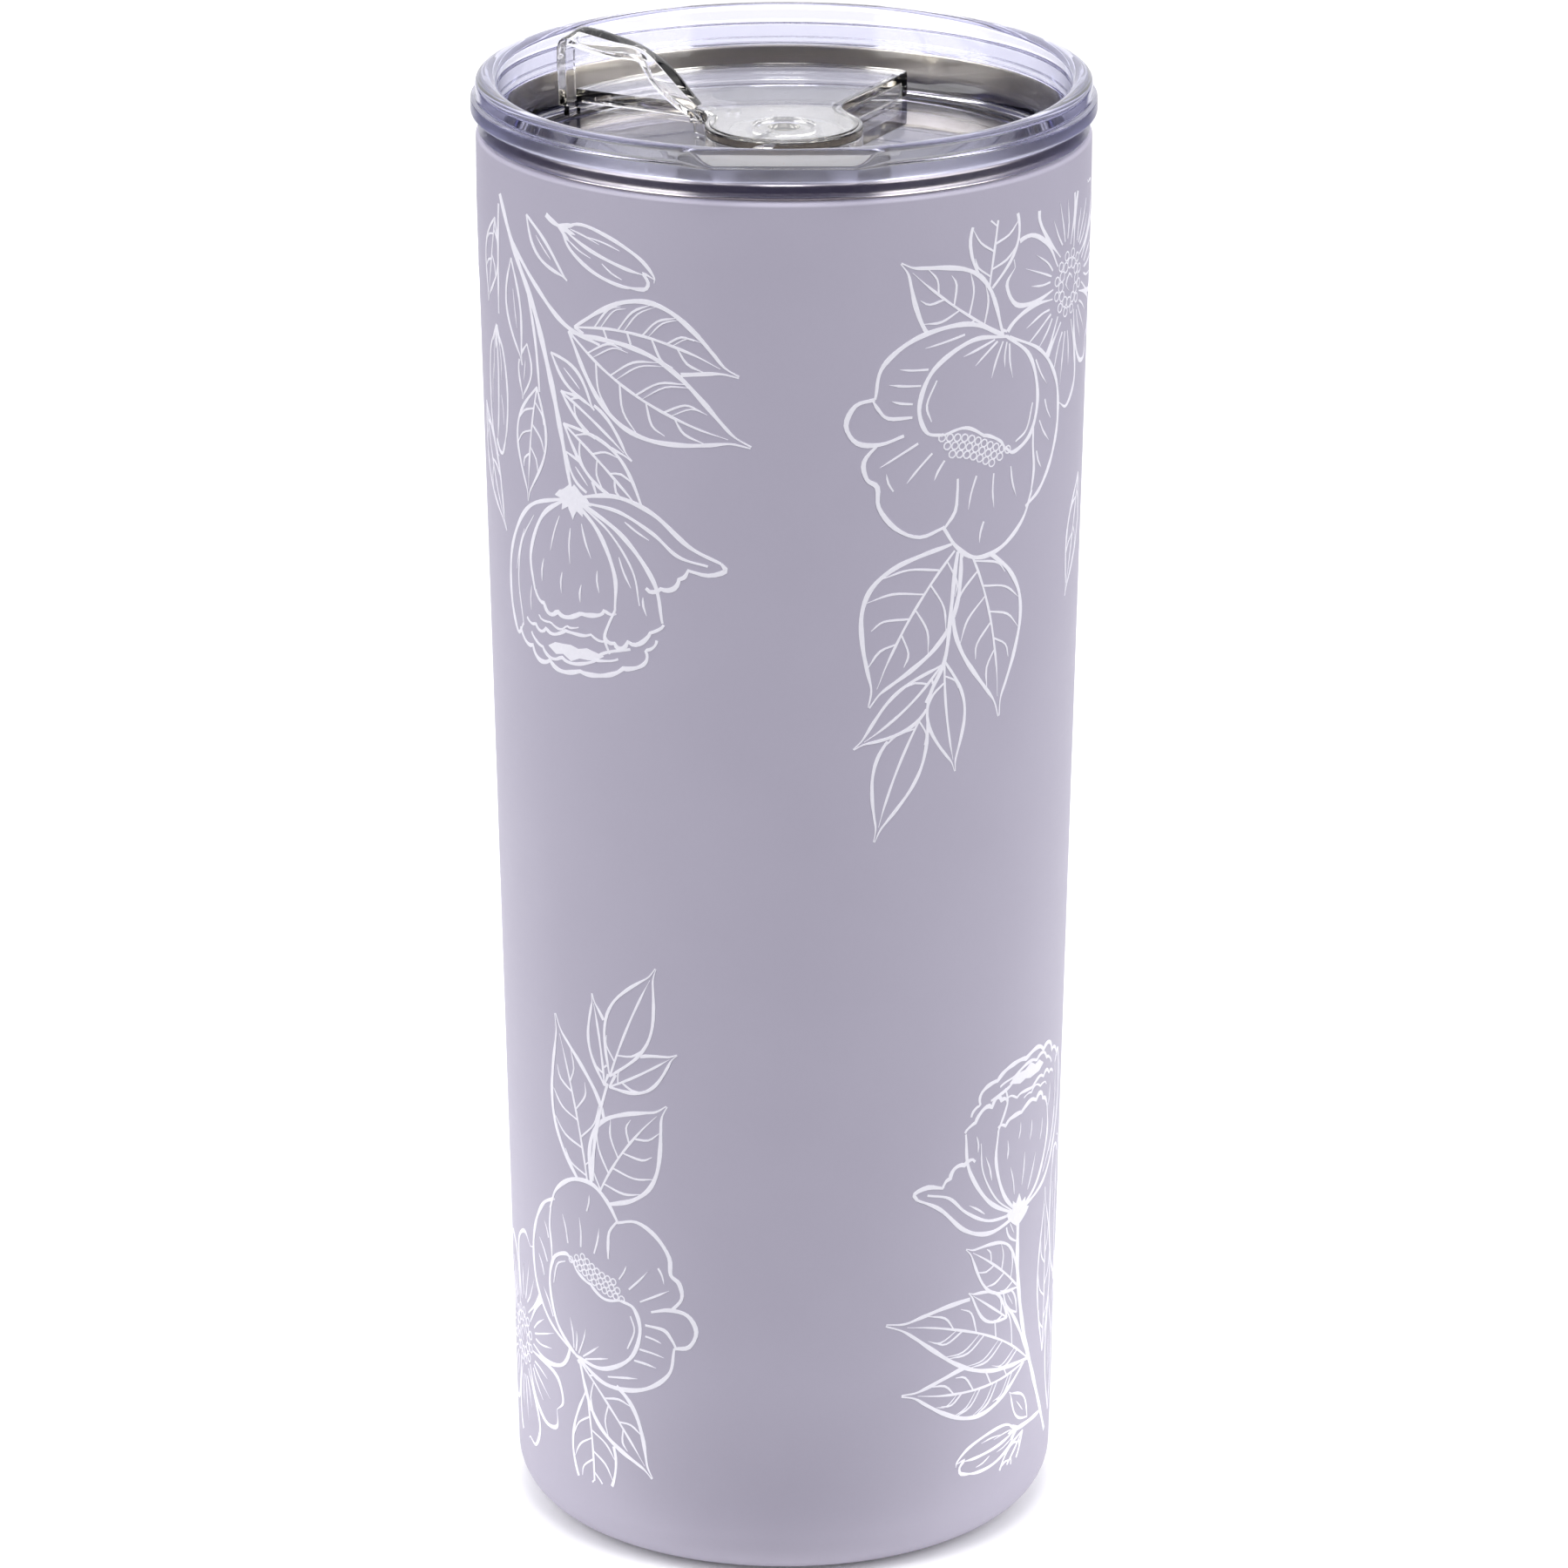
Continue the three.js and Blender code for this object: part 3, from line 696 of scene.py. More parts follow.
class Sketch:
    """Tapered pen strokes on the drawing plane, in millimetres, drawn from front to back."""

    def __init__(self):
        self.strokes = []
        self.covers = []        # (outline, its lowest x, highest x, lowest y, highest y)

    def cover(self, place, outline):
        """Hides whatever is drawn later inside an outline."""
        corners = [place(p) for p in outline]
        xs = [p.x for p in corners]
        ys = [p.y for p in corners]
        self.covers.append((corners, min(xs), max(xs), min(ys), max(ys)))

    def keep(self, curve, widths):
        self.strokes.append((curve, widths, len(self.covers)))

    def visible(self, point, covers):
        if not ART_LOW_Z < point.y < ART_TOP_Z:
            return False
        for outline, left, right, low, high in self.covers[:covers]:
            if left < point.x < right and low < point.y < high and within(point, outline):
                return False
        return True

    def line(self, place, points, width, start=0.35, end=0.2, bumps=0, depth=0.0):
        """Smooth stroke through points; bumps scallop it to its right by a depth."""
        corners = [place(p) for p in points]
        longest = max((b - a).length for a, b in zip(corners, corners[1:]))
        curve = smoothed(corners, max(2, math.ceil(longest / (PEN_STEP / (1 + bool(bumps))))))
        if bumps:
            curve = self.scalloped(curve, bumps, depth)
        last = len(curve) - 1
        phase = len(self.strokes) * 1.7
        widths = []
        for i in range(last + 1):
            t = i / last
            rise = start + (1 - start) * smooth_step(t / 0.25)
            fall = end + (1 - end) * smooth_step((1 - t) / 0.35)
            widths.append(width * rise * fall * (1 + 0.14 * math.sin(i * 0.9 + phase)))
        self.keep(curve, widths)

    @staticmethod
    def scalloped(curve, bumps, depth):
        last = len(curve) - 1
        moved = []
        for i, point in enumerate(curve):
            along = (curve[min(i + 1, last)] - curve[max(i - 1, 0)]).normalized()
            wave = abs(math.sin(math.pi * bumps * (i / last + 0.06 * math.sin(5 * i / last))))
            swell = 0.75 + 0.35 * math.sin(9 * i / last + bumps)
            moved.append(point + Vector((along.y, -along.x)) * depth * swell * (wave ** 0.6 - 0.5))
        return moved

    def patch(self, place, points, widths):
        """Filled shape: a short stroke with its own width at each point."""
        self.keep([place(p) for p in points], widths)

    def loop(self, centre, radius, width):
        curve = arc_points(radius, 0, 360, 9, centre)
        self.keep(curve, [width] * len(curve))

    def runs(self):
        """The uncovered parts of the strokes inside the printed band."""
        for curve, widths, covers in self.strokes:
            run = []
            for point, width in zip(curve, widths):
                if self.visible(point, covers):
                    run.append((point, width))
                    continue
                if len(run) > 1:
                    yield run
                run = []
            if len(run) > 1:
                yield run


def leaf_share(x):
    """Half width of a leaf along its length, 1 at its widest."""
    return math.sin(math.pi * min(max(x, 0.0), 1.0) ** 0.92) ** 1.2


def leaf(sketch, root, tip, half=0.2, bend=0.0, veins=3, pen=PLAIN, lean=0.0, doubled=False):
    """Pointed leaf: half width, bend and lean (uneven halves) are shares of its length."""
    place = spanned(root, tip, 1)

    def edge(x, side):
        return (bend * 4 * x * (1 - x) + side * (half + side * lean) * leaf_share(x), x)

    stations = (0, 0.07, 0.17, 0.3, 0.45, 0.6, 0.75, 0.87, 0.95)
    for side in (-1, 1):
        sketch.line(place, [edge(x, side) for x in stations] + [(0.004 * side, 1.04)],
                    pen, 0.6, 0.3)
    if not veins:
        sketch.line(place, [edge(0.3, 0), edge(0.5, 0), edge(0.68, 0)], HAIR)
    else:
        sketch.line(place, [edge(x, 0) for x in (0, 0.25, 0.5, 0.75, 0.93)], FINE * 1.25, 0.9, 0.2)
    for i in range(veins):
        for side in (-1, 1):
            start = 0.14 + 0.06 * (side > 0) + 0.62 * i / veins
            rib = Vector(edge(start, 0))
            rim = Vector(edge(start + 0.19, side))
            middle = rib.lerp(rim, 0.5) + Vector((0.025 * side, -0.02))
            stop = rib.lerp(rim, 0.96 if (i + (side > 0)) % 3 else 0.8)
            sketch.line(place, [rib, middle, stop], FINE, 0.8, 0.3)
            if doubled and side < 0:
                shift = Vector((0, 0.035))
                sketch.line(place, [rib + shift, middle + shift, stop + shift], HAIR)
    sketch.cover(place, [edge(x, -1) for x in stations] + [(0, 1)]
                 + [edge(x, 1) for x in stations[:0:-1]])


def twig(sketch, points, width):
    sketch.line(lambda p: spot(*p), points, width, 0.9, 0.6)


def small_bud(sketch, root, tip, flip=1):
    """Closed bud with three petals and a spiky calyx."""
    place = spanned(root, tip, 100, flip)
    for points in ([(0, 0), (14, 20), (17, 50), (13, 80), (4, 97), (-2, 100)],
                   [(0, 0), (-13, 16), (-20, 45), (-18, 75), (-10, 93)],
                   [(0, 4), (-3, 35), (-2, 70), (1, 92)],
                   [(-18, 75), (-12, 93), (-4, 95), (2, 88), (1, 100)]):
        sketch.line(place, points, PLAIN)
    for x, low, high in ((6, 10, 42), (-9, 12, 38), (10, 30, 62), (-12, 50, 72)):
        sketch.line(place, [(x * 0.7, low), (x, (low + high) / 2), (x * 1.05, high)], HAIR)
    for x, y in ((9, 13), (2, 17), (-7, 13)):
        sketch.line(place, [(0, -2), (x * 0.6, y * 0.5), (x, y)], BOLD, 1, 0.1)
    sketch.cover(place, [(0, 0), (14, 20), (17, 50), (13, 80), (0, 100), (-10, 95), (-18, 75),
                         (-20, 45), (-13, 16)])


def petal_edges(sketch, place, flip, edges):
    for width, points, *ruffle in edges:
        bumps, depth = ruffle or (0, 0)
        sketch.line(place, points, width, 0.7, 0.6, bumps, depth * flip)


def streaks(sketch, place, lines, bulge, *taper):
    """Short strokes, each from (x, y) to (x, y), whose middles are pushed out by the bulge."""
    for x, y, end_x, end_y in lines:
        middle = Vector(((x + end_x) / 2, (y + end_y) / 2)) + Vector(bulge)
        sketch.line(place, [(x, y), middle, (end_x, end_y)], FINE, *taper)


PEONY_EDGES = [                 # (width, points, bumps, depth of the bumps)
    (BOLD, [(0, 3), (-17, 18), (-27, 40), (-27, 60)]),
    (BOLD, [(33, 62), (20, 70), (2, 68), (-15, 64), (-27, 60)], 5, 0.9),
    (BOLD, [(2, 3), (24, 18), (36, 42), (33, 62)]),
    (BOLD, [(-3, 3), (-31, 17), (-50, 40), (-55, 63)]),
    (BOLD, [(-20, 77), (-30, 79), (-44, 73), (-55, 63)], 4, 0.9),
    (PLAIN, [(-27, 60), (-22, 70), (-20, 77), (-23, 85)]),
    (BOLD, [(4, 4), (36, 16), (56, 42), (60, 70), (53, 90), (46, 84)]),
    (FINE, [(46, 84), (50, 60), (45, 38), (32, 20)]),
    (BOLD, [(50, 88), (30, 98), (5, 100), (-22, 96), (-42, 86), (-50, 72)], 6, 1.0),
    (PLAIN, [(42, 80), (24, 82), (2, 78), (-20, 77)], 5, 0.8),
    (PLAIN, [(38, 87), (20, 95), (-5, 93), (-28, 86)], 4, 0.8),
    (FINE, [(30, 76), (12, 77), (-2, 74)], 3, 0.7),
    (PLAIN, [(-36, 80), (-22, 84), (-14, 88)]),
    (BOLD, [(-3, 2), (-28, -3), (-50, 3), (-70, 19), (-87, 27)]),
    (BOLD, [(-87, 27), (-89, 31), (-80, 34), (-69, 32)]),
    (BOLD, [(-46, 46), (-56, 44), (-65, 38), (-69, 32)], 3, 0.8),
    (PLAIN, [(-6, 4), (-30, 5), (-50, 14), (-64, 25), (-80, 29)]),
    (FINE, [(-5, 5), (-24, 17), (-38, 36), (-42, 55)]),
]
PEONY_SHAPE = [(0, 0), (36, 16), (56, 42), (60, 70), (53, 90), (30, 99), (5, 101), (-22, 97),
               (-42, 87), (-55, 66), (-52, 45), (-65, 39), (-69, 33), (-87, 30), (-70, 19),
               (-50, 3), (-28, -3)]
PEONY_STREAKS = [(-6, 16, -12, 34), (2, 20, 3, 40), (10, 15, 18, 36), (-16, 40, -17, 52),
                 (24, 42, 26, 55), (9, 46, 10, 58), (-30, 30, -37, 46), (42, 30, 52, 55),
                 (-44, 50, -46, 60), (-34, 10, -48, 18), (36, 60, 37, 74), (-5, 50, -4, 60)]


def peony(sketch, calyx, angle, size, flip=1):
    """Half-open ruffled flower seen from the side, with one petal hanging out."""
    place = turned(spot(*calyx), angle, size, flip)
    petal_edges(sketch, place, flip, PEONY_EDGES)
    streaks(sketch, place, PEONY_STREAKS, (0.8, 0))
    sketch.patch(place, [(-19, 87), (-14, 88), (-8, 88), (-2, 89), (4, 90), (10, 89), (16, 90),
                         (22, 90)], [0.1, 1.0, 1.5, 1.2, 2.1, 1.3, 1.5, 0.1])
    for x, y, width in ((-13, 5, 1.2), (-7, 12, 1.3), (0, 15, 1.4), (8, 11, 1.3), (13, 4, 1.1)):
        sketch.line(place, [(0, -3), (x * 0.5, y * 0.45), (x, y)], width, 0.8, 0.05)
    sketch.cover(place, PEONY_SHAPE)


BLOOM_EDGES = [                 # (width, points, bumps, depth of the bumps)
    (BOLD, [(0, 0), (-40, 14), (-66, 48), (-68, 82), (-50, 102), (-36, 100)]),
    (BOLD, [(0, 0), (40, 10), (70, 42), (73, 78), (58, 100), (40, 100)]),
    (PLAIN, [(-36, 100), (-15, 93), (15, 91), (40, 100)], 2, 0.7),
    (BOLD, [(4, 0), (50, -4), (95, 17), (119, 50), (116, 82)]),
    (BOLD, [(116, 82), (131, 92), (133, 112), (118, 125), (97, 121), (78, 108)]),
    (BOLD, [(99, 121), (106, 140), (98, 155), (86, 160), (78, 178), (56, 193), (30, 196),
            (8, 182)]),
    (PLAIN, [(8, 184), (2, 166), (6, 148), (10, 136)]),
    (BOLD, [(10, 182), (-12, 198), (-38, 204), (-66, 190), (-86, 162), (-90, 134)]),
    (BOLD, [(-86, 150), (-104, 130), (-114, 98), (-112, 64), (-94, 30), (-56, 7), (-4, 0)]),
    (PLAIN, [(-90, 140), (-86, 115), (-76, 94), (-69, 74)]),
    (PLAIN, [(76, 90), (98, 96), (110, 90), (117, 84)]),
    (FINE, [(-60, 55), (-60, 80), (-48, 93)]),
    (FINE, [(64, 52), (66, 76), (56, 90)]),
]
BLOOM_SHAPE = [(0, 0), (50, -4), (95, 17), (119, 50), (116, 82), (131, 92), (133, 112), (118, 125),
               (106, 140), (98, 155), (86, 160), (78, 178), (56, 193), (30, 196), (10, 184),
               (-12, 198), (-38, 204), (-66, 190), (-86, 162), (-104, 130), (-114, 98), (-112, 64),
               (-94, 30), (-56, 7)]
BLOOM_STREAKS = [(3, 5, 5, 40), (-6, 6, -22, 36), (10, 6, 28, 32), (-2, 5, -8, 28),
                 (14, 5, 44, 26), (50, 6, 86, 26), (76, 44, 103, 50), (78, 60, 108, 66),
                 (80, 78, 100, 80), (62, 112, 90, 142), (45, 118, 60, 150), (70, 160, 82, 146),
                 (30, 122, 34, 142), (-10, 130, -12, 162), (-30, 125, -42, 156),
                 (-50, 116, -68, 142), (-34, 170, -36, 190), (-80, 50, -98, 66),
                 (-78, 70, -102, 86), (-84, 98, -98, 112), (-50, 16, -78, 36)]


def bloom(sketch, base, angle, size, flip=1):
    """Open flower seen from below its front petal, with a row of stamens behind that petal."""
    place = turned(spot(*base), angle, size, flip)
    petal_edges(sketch, place, flip, BLOOM_EDGES)
    streaks(sketch, place, BLOOM_STREAKS, (1.2, 1), 0.9, 0.1)
    for row in range(3):
        for i in range(11 - 2 * row):
            across = (i - (10 - 2 * row) / 2) * 8
            back = 99 + 7.5 * row + 0.0014 * across * across + 1.2 * math.sin(7 * i + row)
            sketch.loop(place((across, back)), 0.036 * size, HAIR)
    sketch.cover(place, BLOOM_SHAPE)


def anemone(sketch, centre, size, start_angle):
    """Flower seen face on: a ring of beads and long petals with streaks."""
    centre = spot(*centre)
    for i in range(12):
        sketch.loop(centre + polar(0.17 * size, 30 * i), 0.045 * size, HAIR)
        sketch.loop(centre + polar(0.25 * size, 30 * i + 15), 0.04 * size, HAIR)
    sketch.line(turned(centre, 90, size), [(7, 2), (0, 8), (-7, 0), (0, -7)], FINE)
    for petal in range(ANEMONE_PETALS):
        angle = start_angle + 360 / ANEMONE_PETALS * petal
        size_here = size * (1 + 0.1 * math.sin(3 * petal + 1))
        place = turned(centre, angle, size_here)
        sketch.line(place, [(-10, 30), (-24, 55), (-30, 80), (-16, 98), (0, 94)], BOLD)
        sketch.line(place, [(10, 30), (26, 55), (30, 84), (16, 102), (0, 94)], BOLD)
        for x, high in ((-9, 66), (1, 80), (11, 70)):
            sketch.line(place, [(x * 0.5, 38), (x, 50), (x * 1.35, high)], FINE, 0.9, 0.1)
        sketch.cover(place, [(5, 20), (10, 30), (26, 55), (30, 84), (16, 100), (0, 94),
                             (-16, 96), (-30, 80), (-24, 55), (-10, 30), (-5, 20)])


# The drawing, from front to back: each motif and what it is given. Places are (azimuth from the
# front, height).
DRAWING = [
    # upper left
    (peony, (-43.6, 141), -90, 23),
    (twig, [(-66, 176), (-60, 169.5), (-53.5, 163), (-49, 155), (-46.2, 148), (-43.8, 141)], 0.85),
    (twig, [(-61, 170.5), (-52, 165.5), (-44.5, 162), (-36, 160.4)], 0.6),
    (twig, [(-55.5, 165.5), (-53.2, 159), (-52.2, 152.5)], 0.5),
    (twig, [(-66, 174), (-67, 166), (-67.5, 160)], 0.5),
    (small_bud, (-45, 174), (-24, 169.4), -1),
    (twig, [(-51, 176), (-48, 174.7), (-45, 174)], 0.6),
    (leaf, (-55, 174.3), (-44, 167.8), 0.13, 0.04, 0, PLAIN, 0.03),
    (leaf, (-43.5, 161.3), (-7.5, 150), 0.2, 0.06, 4, BOLD, -0.02, True),
    (leaf, (-42, 162), (-9.5, 158.4), 0.21, -0.1, 4, BOLD, 0, True),
    (leaf, (-61, 168), (-58, 155.5), 0.14, 0.03, 0, PLAIN, 0.03),
    (leaf, (-53, 153), (-57, 138.5), 0.21, 0.03),
    (leaf, (-56, 158), (-58, 151), 0.2, 0, 0, FINE * 1.3),
    (leaf, (-48.5, 158), (-38, 152.3), 0.15, -0.04, 0),
    (leaf, (-45.5, 149.5), (-26.5, 139.6), 0.17, -0.04),
    (leaf, (-46, 153.5), (-30, 146.8), 0.15, -0.04, 1),
    (leaf, (-45, 146), (-37, 140.6), 0.17, 0, 0, FINE * 1.3),
    (small_bud, (-69, 158), (-70.5, 141.5)),
    (leaf, (-68, 172), (-73.5, 161), 0.2, 0, 2),
    (leaf, (-79, 147), (-67.5, 133), 0.16, 0.04, 2),
    # upper right
    (bloom, (45.5, 160.4), -109, 13.2),
    (leaf, (44.5, 160.8), (22.5, 171.3), 0.27, -0.04, 4, BOLD),
    (leaf, (40.5, 166.3), (44, 181), 0.26, 0),
    (twig, [(40.5, 167), (40.4, 164), (43, 161.8), (45.6, 161)], 0.6),
    (anemone, (67, 164), 14.5, -98),
    (twig, [(36.4, 137.4), (34.4, 134), (33.2, 127), (32, 121), (28, 116)], 0.55),
    (leaf, (35.6, 136), (17, 117), 0.27, 0.06, 4, BOLD, 0.02),
    (leaf, (36.2, 136), (45.5, 113), 0.23, -0.06, 4, BOLD),
    (leaf, (32, 121), (34.8, 107), 0.19, 0.03, 1),
    (leaf, (31.4, 120.5), (14, 111.4), 0.17, -0.05, 1),
    (leaf, (28.6, 116), (18, 99.5), 0.17, 0.04, 1),
    (leaf, (78, 138), (70.5, 124), 0.17, 0, 2),
    # lower left
    (bloom, (-49, 26.4), 71, 11.9),
    (twig, [(-43, 47), (-42.6, 53), (-41, 59), (-38, 65)], 0.6),
    (leaf, (-42.4, 48), (-24.8, 63), 0.28, -0.05, 4, BOLD, 0.02),
    (leaf, (-43.6, 48.4), (-52.6, 71), 0.21, 0.03, 4, BOLD),
    (leaf, (-37.4, 66), (-26.5, 81), 0.2, -0.02, 1),
    (leaf, (-37.6, 64.6), (-22.3, 70.4), 0.2, 0.02, 1),
    (leaf, (-38.8, 64.6), (-41.5, 76), 0.17, 0.02, 1),
    (leaf, (-48, 26), (-29.5, 13.2), 0.2, -0.04, 3, BOLD),
    (leaf, (-46, 22.4), (-44.5, 4), 0.22, -0.03, 4),
    (twig, [(-49, 26.4), (-47, 24.6), (-45.8, 21.6)], 0.5),
    (anemone, (-74, 24), 14, 72),
    # lower right
    (peony, (57, 43.6), 86, 21.5),
    (twig, [(57, 43.6), (57.6, 36), (60.5, 28), (65.5, 21), (73, 13), (80, 7)], 0.85),
    (leaf, (58, 34), (41.2, 42), 0.24, 0.03),
    (leaf, (54, 30.6), (42, 36), 0.2, 0, 1),
    (leaf, (57, 40.4), (52.6, 45), 0.2, 0, 0, FINE * 1.3),
    (leaf, (57.6, 30.6), (52, 35.4), 0.17, 0, 0, FINE * 1.3),
    (leaf, (63.5, 23), (23, 34), 0.17, 0.07, 4, BOLD, 0, True),
    (leaf, (61.5, 23), (26.5, 24.4), 0.17, -0.05, 4, BOLD, 0, True),
    (small_bud, (59, 14.2), (39, 13)),
    (twig, [(59, 14.2), (65, 14), (72, 13.8)], 0.6),
    (leaf, (64, 14.8), (56, 19.8), 0.2, 0, 0, FINE * 1.3),
    (leaf, (62, 13.4), (51, 7.6), 0.16, 0, 2, FINE * 1.3),
    (leaf, (72, 22), (70.5, 44), 0.13, 0.02),
    (small_bud, (82, 30), (80, 50)),
    (leaf, (80, 12), (76, 29), 0.12, 0, 0),
]


def line_art(ink):
    """The drawing goes once round the front and once round the back."""
    sketch = Sketch()
    for motif, *given in DRAWING:
        motif(sketch, *given)
    vertices = []
    faces = []
    for half_turn in (0, math.pi):
        for count, run in enumerate(sketch.runs()):
            add_ribbon(vertices, faces, run, half_turn, INK_UP + 0.004 * (count % 6))
    finish(mesh_object("line_art", vertices, faces), ink, "cup", "line_art")


def add_ribbon(vertices, faces, run, turn, up):
    """Flat closed strip that follows a stroke over the painted wall."""
    first = len(vertices)
    last = len(run) - 1
    for i, (point, width) in enumerate(run):
        along = (run[min(i + 1, last)][0] - run[max(i - 1, 0)][0]).normalized()
        left = Vector((-along.y, along.x)) * width / 2
        for side, lift in ((left, up), (-left, up), (-left, -INK_DOWN), (left, -INK_DOWN)):
            at = point + side
            angle = at.x / ART_R + turn
            r = shell_radius(at.y) + lift
            vertices.append((r * math.sin(angle), -r * math.cos(angle), at.y))
    for i in range(last):
        here = first + 4 * i
        for k in range(4):
            nearby = (k + 1) % 4
            faces.append((here + k, here + nearby, here + 4 + nearby, here + 4 + k))
    faces.append((first + 3, first + 2, first + 1, first))
    end = first + 4 * last
    faces.append((end, end + 1, end + 2, end + 3))


# ==== Lid ====

TAB_CORNER_ANGLE = math.asin(TAB_HALF_W / FLANGE_R * 0.98)
TAB_ROOT_ANGLE = math.asin(TAB_ROOT_HALF_W / FLANGE_R)


def tab_outline(angle, plain_radius, inset):
    """Distance from the axis of the tab's plan outline; angle is measured from its middle."""
    angle = abs(angle)
    front = FLANGE_R - inset
    corner = front / math.cos(TAB_CORNER_ANGLE)
    if angle <= TAB_CORNER_ANGLE:
        return max(front / math.cos(angle), plain_radius)
    share = (angle - TAB_CORNER_ANGLE) / (TAB_ROOT_ANGLE - TAB_CORNER_ANGLE)
    if share >= 1:
        return plain_radius
    return plain_radius + (corner - plain_radius) * math.cos(share * math.pi / 2) ** 1.2


def crown_height(r, angle):
    """Height of the rim's top at a distance from the axis, with the tab's slope."""
    top = (RIM_FRONT_Z + RIM_BACK_Z) / 2 - (RIM_BACK_Z - RIM_FRONT_Z) / 2 * math.cos(angle)
    middle = (RIM_IN_R + RIM_OUT_R) / 2
    across = min(abs(r - middle) / (RIM_OUT_R - middle), 1.0)
    dome = top - CROWN_DROP * across ** 2.5
    if r <= middle:
        return dome
    forward = max(r * math.cos(angle) - middle, 0.0) / (FLANGE_R - middle)
    slope = FLANGE_TOP_Z + (top - FLANGE_TOP_Z) * (1 - min(forward, 1.0) ** 1.25)
    fade_from = 0.55 * TAB_CORNER_ANGLE + 0.45 * TAB_ROOT_ANGLE
    share = 1 - smooth_step((abs(angle) - fade_from) / (TAB_ROOT_ANGLE - fade_from))
    return dome + share * (min(slope, top) - dome)


def lid_profile(angle):
    """Anticlockwise outline of the lid's section at an angle from the middle of the tab."""
    flange = tab_outline(angle, FLANGE_R, 0)
    wall = tab_outline(angle, RIM_OUT_R, 0.15)
    neck = NECK_R + 0.3
    mouth_top = NECK_TOP_Z + 0.3
    notch = 0.2 * (1 - smooth_step((abs(angle) - 0.7 * TAB_CORNER_ANGLE) / 0.12))
    hem = SKIRT_LOW_Z + notch
    points = [Vector(p) for p in (
        (POST_HOLE_R, FLOOR_LOW_Z), (POST_HOLE_R + 0.3, FLOOR_LOW_Z - 0.1),
        (31.6, FLOOR_LOW_Z - 0.1), (32.2, FLOOR_LOW_Z - 0.3), (32.6, 174),
        (33.1, PLUG_LOW_Z + 0.5), (33.3, PLUG_LOW_Z + 0.1), (33.6, PLUG_LOW_Z),
        (34.7, PLUG_LOW_Z), (PLUG_R - 0.15, PLUG_LOW_Z + 0.15),
        (PLUG_R - 0.05, PLUG_LOW_Z + 0.5), (PLUG_R - 0.05, 173.3), (PLUG_R - 0.15, 173.4),
        (34, 173.4), (34, 176.2), (PLUG_R - 0.1, 176.2), (PLUG_R, 176.3),
        (PLUG_R, mouth_top - 0.25), (PLUG_R + 0.25, mouth_top), (neck - 0.25, mouth_top),
        (neck, mouth_top - 0.25), (neck, hem + 0.12), (neck + 0.12, hem), (SKIRT_R - 0.15, hem),
        (SKIRT_R, hem + 0.15), (SKIRT_R, FLANGE_LOW_Z - 0.2),
        (SKIRT_R + 0.06, FLANGE_LOW_Z - 0.06), (SKIRT_R + 0.2, FLANGE_LOW_Z),
    )]
    points += [Vector((flange - inset, z)) for inset, z in (
        (0.12, FLANGE_LOW_Z), (0.05, FLANGE_LOW_Z + 0.02), (0.015, FLANGE_LOW_Z + 0.06),
        (0, FLANGE_LOW_Z + 0.12), (0, FLANGE_TOP_Z - 0.22), (0.03, FLANGE_TOP_Z - 0.10),
        (0.09, FLANGE_TOP_Z - 0.02),
    )]
    rise = crown_height(wall, angle) - FLANGE_TOP_Z
    step = flange - wall - 0.09
    points += [Vector((wall + step * share, FLANGE_TOP_Z + rise * up)) for share, up in (
        (0.55, 0.03), (0.2, 0.10), (0.05, 0.22), (0, 0.35), (0, 0.92),
    )]
    samples = 14
    points += [Vector((r, crown_height(r, angle))) for r in (
        wall - 0.08 - (wall - 0.16 - RIM_IN_R) * i / samples for i in range(samples + 1))]
    inner_top = crown_height(RIM_IN_R, angle)
    points += [Vector(p) for p in (
        (RIM_IN_R, inner_top - 0.12), (RIM_IN_R - 0.02, 183), (34.95, 179.4), (34.75, 178.5),
        (34.45, 177.8), (34.0, 177.25), (33.3, FLOOR_TOP_Z + 0.08), (32.6, FLOOR_TOP_Z),
        (20, FLOOR_TOP_Z), (POCKET_R + 0.15, FLOOR_TOP_Z), (POCKET_R, FLOOR_TOP_Z - 0.15),
        (POCKET_R, FLOOR_TOP_Z - POCKET_DEPTH + 0.1),
        (POCKET_R - 0.1, FLOOR_TOP_Z - POCKET_DEPTH), (POST_HOLE_R, FLOOR_TOP_Z - POCKET_DEPTH),
    )]
    return points


def lid_angles():
    """Angles from the middle of the tab: close together round the tab, wider elsewhere."""
    reach = math.radians(TAB_REACH_ANGLE)
    fine = 96
    coarse = 176
    near_tab = [-reach + 2 * reach * i / fine for i in range(fine)]
    rest = [reach + (math.tau - 2 * reach) * i / coarse for i in range(coarse)]
    return near_tab + rest


def prism(name, outline, low, high):
    return loft(name, [[(*p, z) for p in outline] for z in (low, high)])


def drink_slot():
    """Outline of the drink opening: a slot with round ends, centred on +Y."""
    start = 90 - DRINK_HALF_ANGLE
    end = 90 + DRINK_HALF_ANGLE
    outline = arc_points(DRINK_MID_R + DRINK_HALF_W, start, end, 16)
    outline += arc_points(DRINK_HALF_W, end, end + 180, 20, polar(DRINK_MID_R, end))[1:-1]
    outline += arc_points(DRINK_MID_R - DRINK_HALF_W, end, start, 16)
    outline += arc_points(DRINK_HALF_W, start + 180, start + 360, 20,
                          polar(DRINK_MID_R, start))[1:-1]
    return outline


def ring_sector(name, inner, outer, start, end, low, high, steps=48):
    outline = arc_points(outer, start, end, steps) + arc_points(inner, end, start, steps)
    return prism(name, outline, low, high)


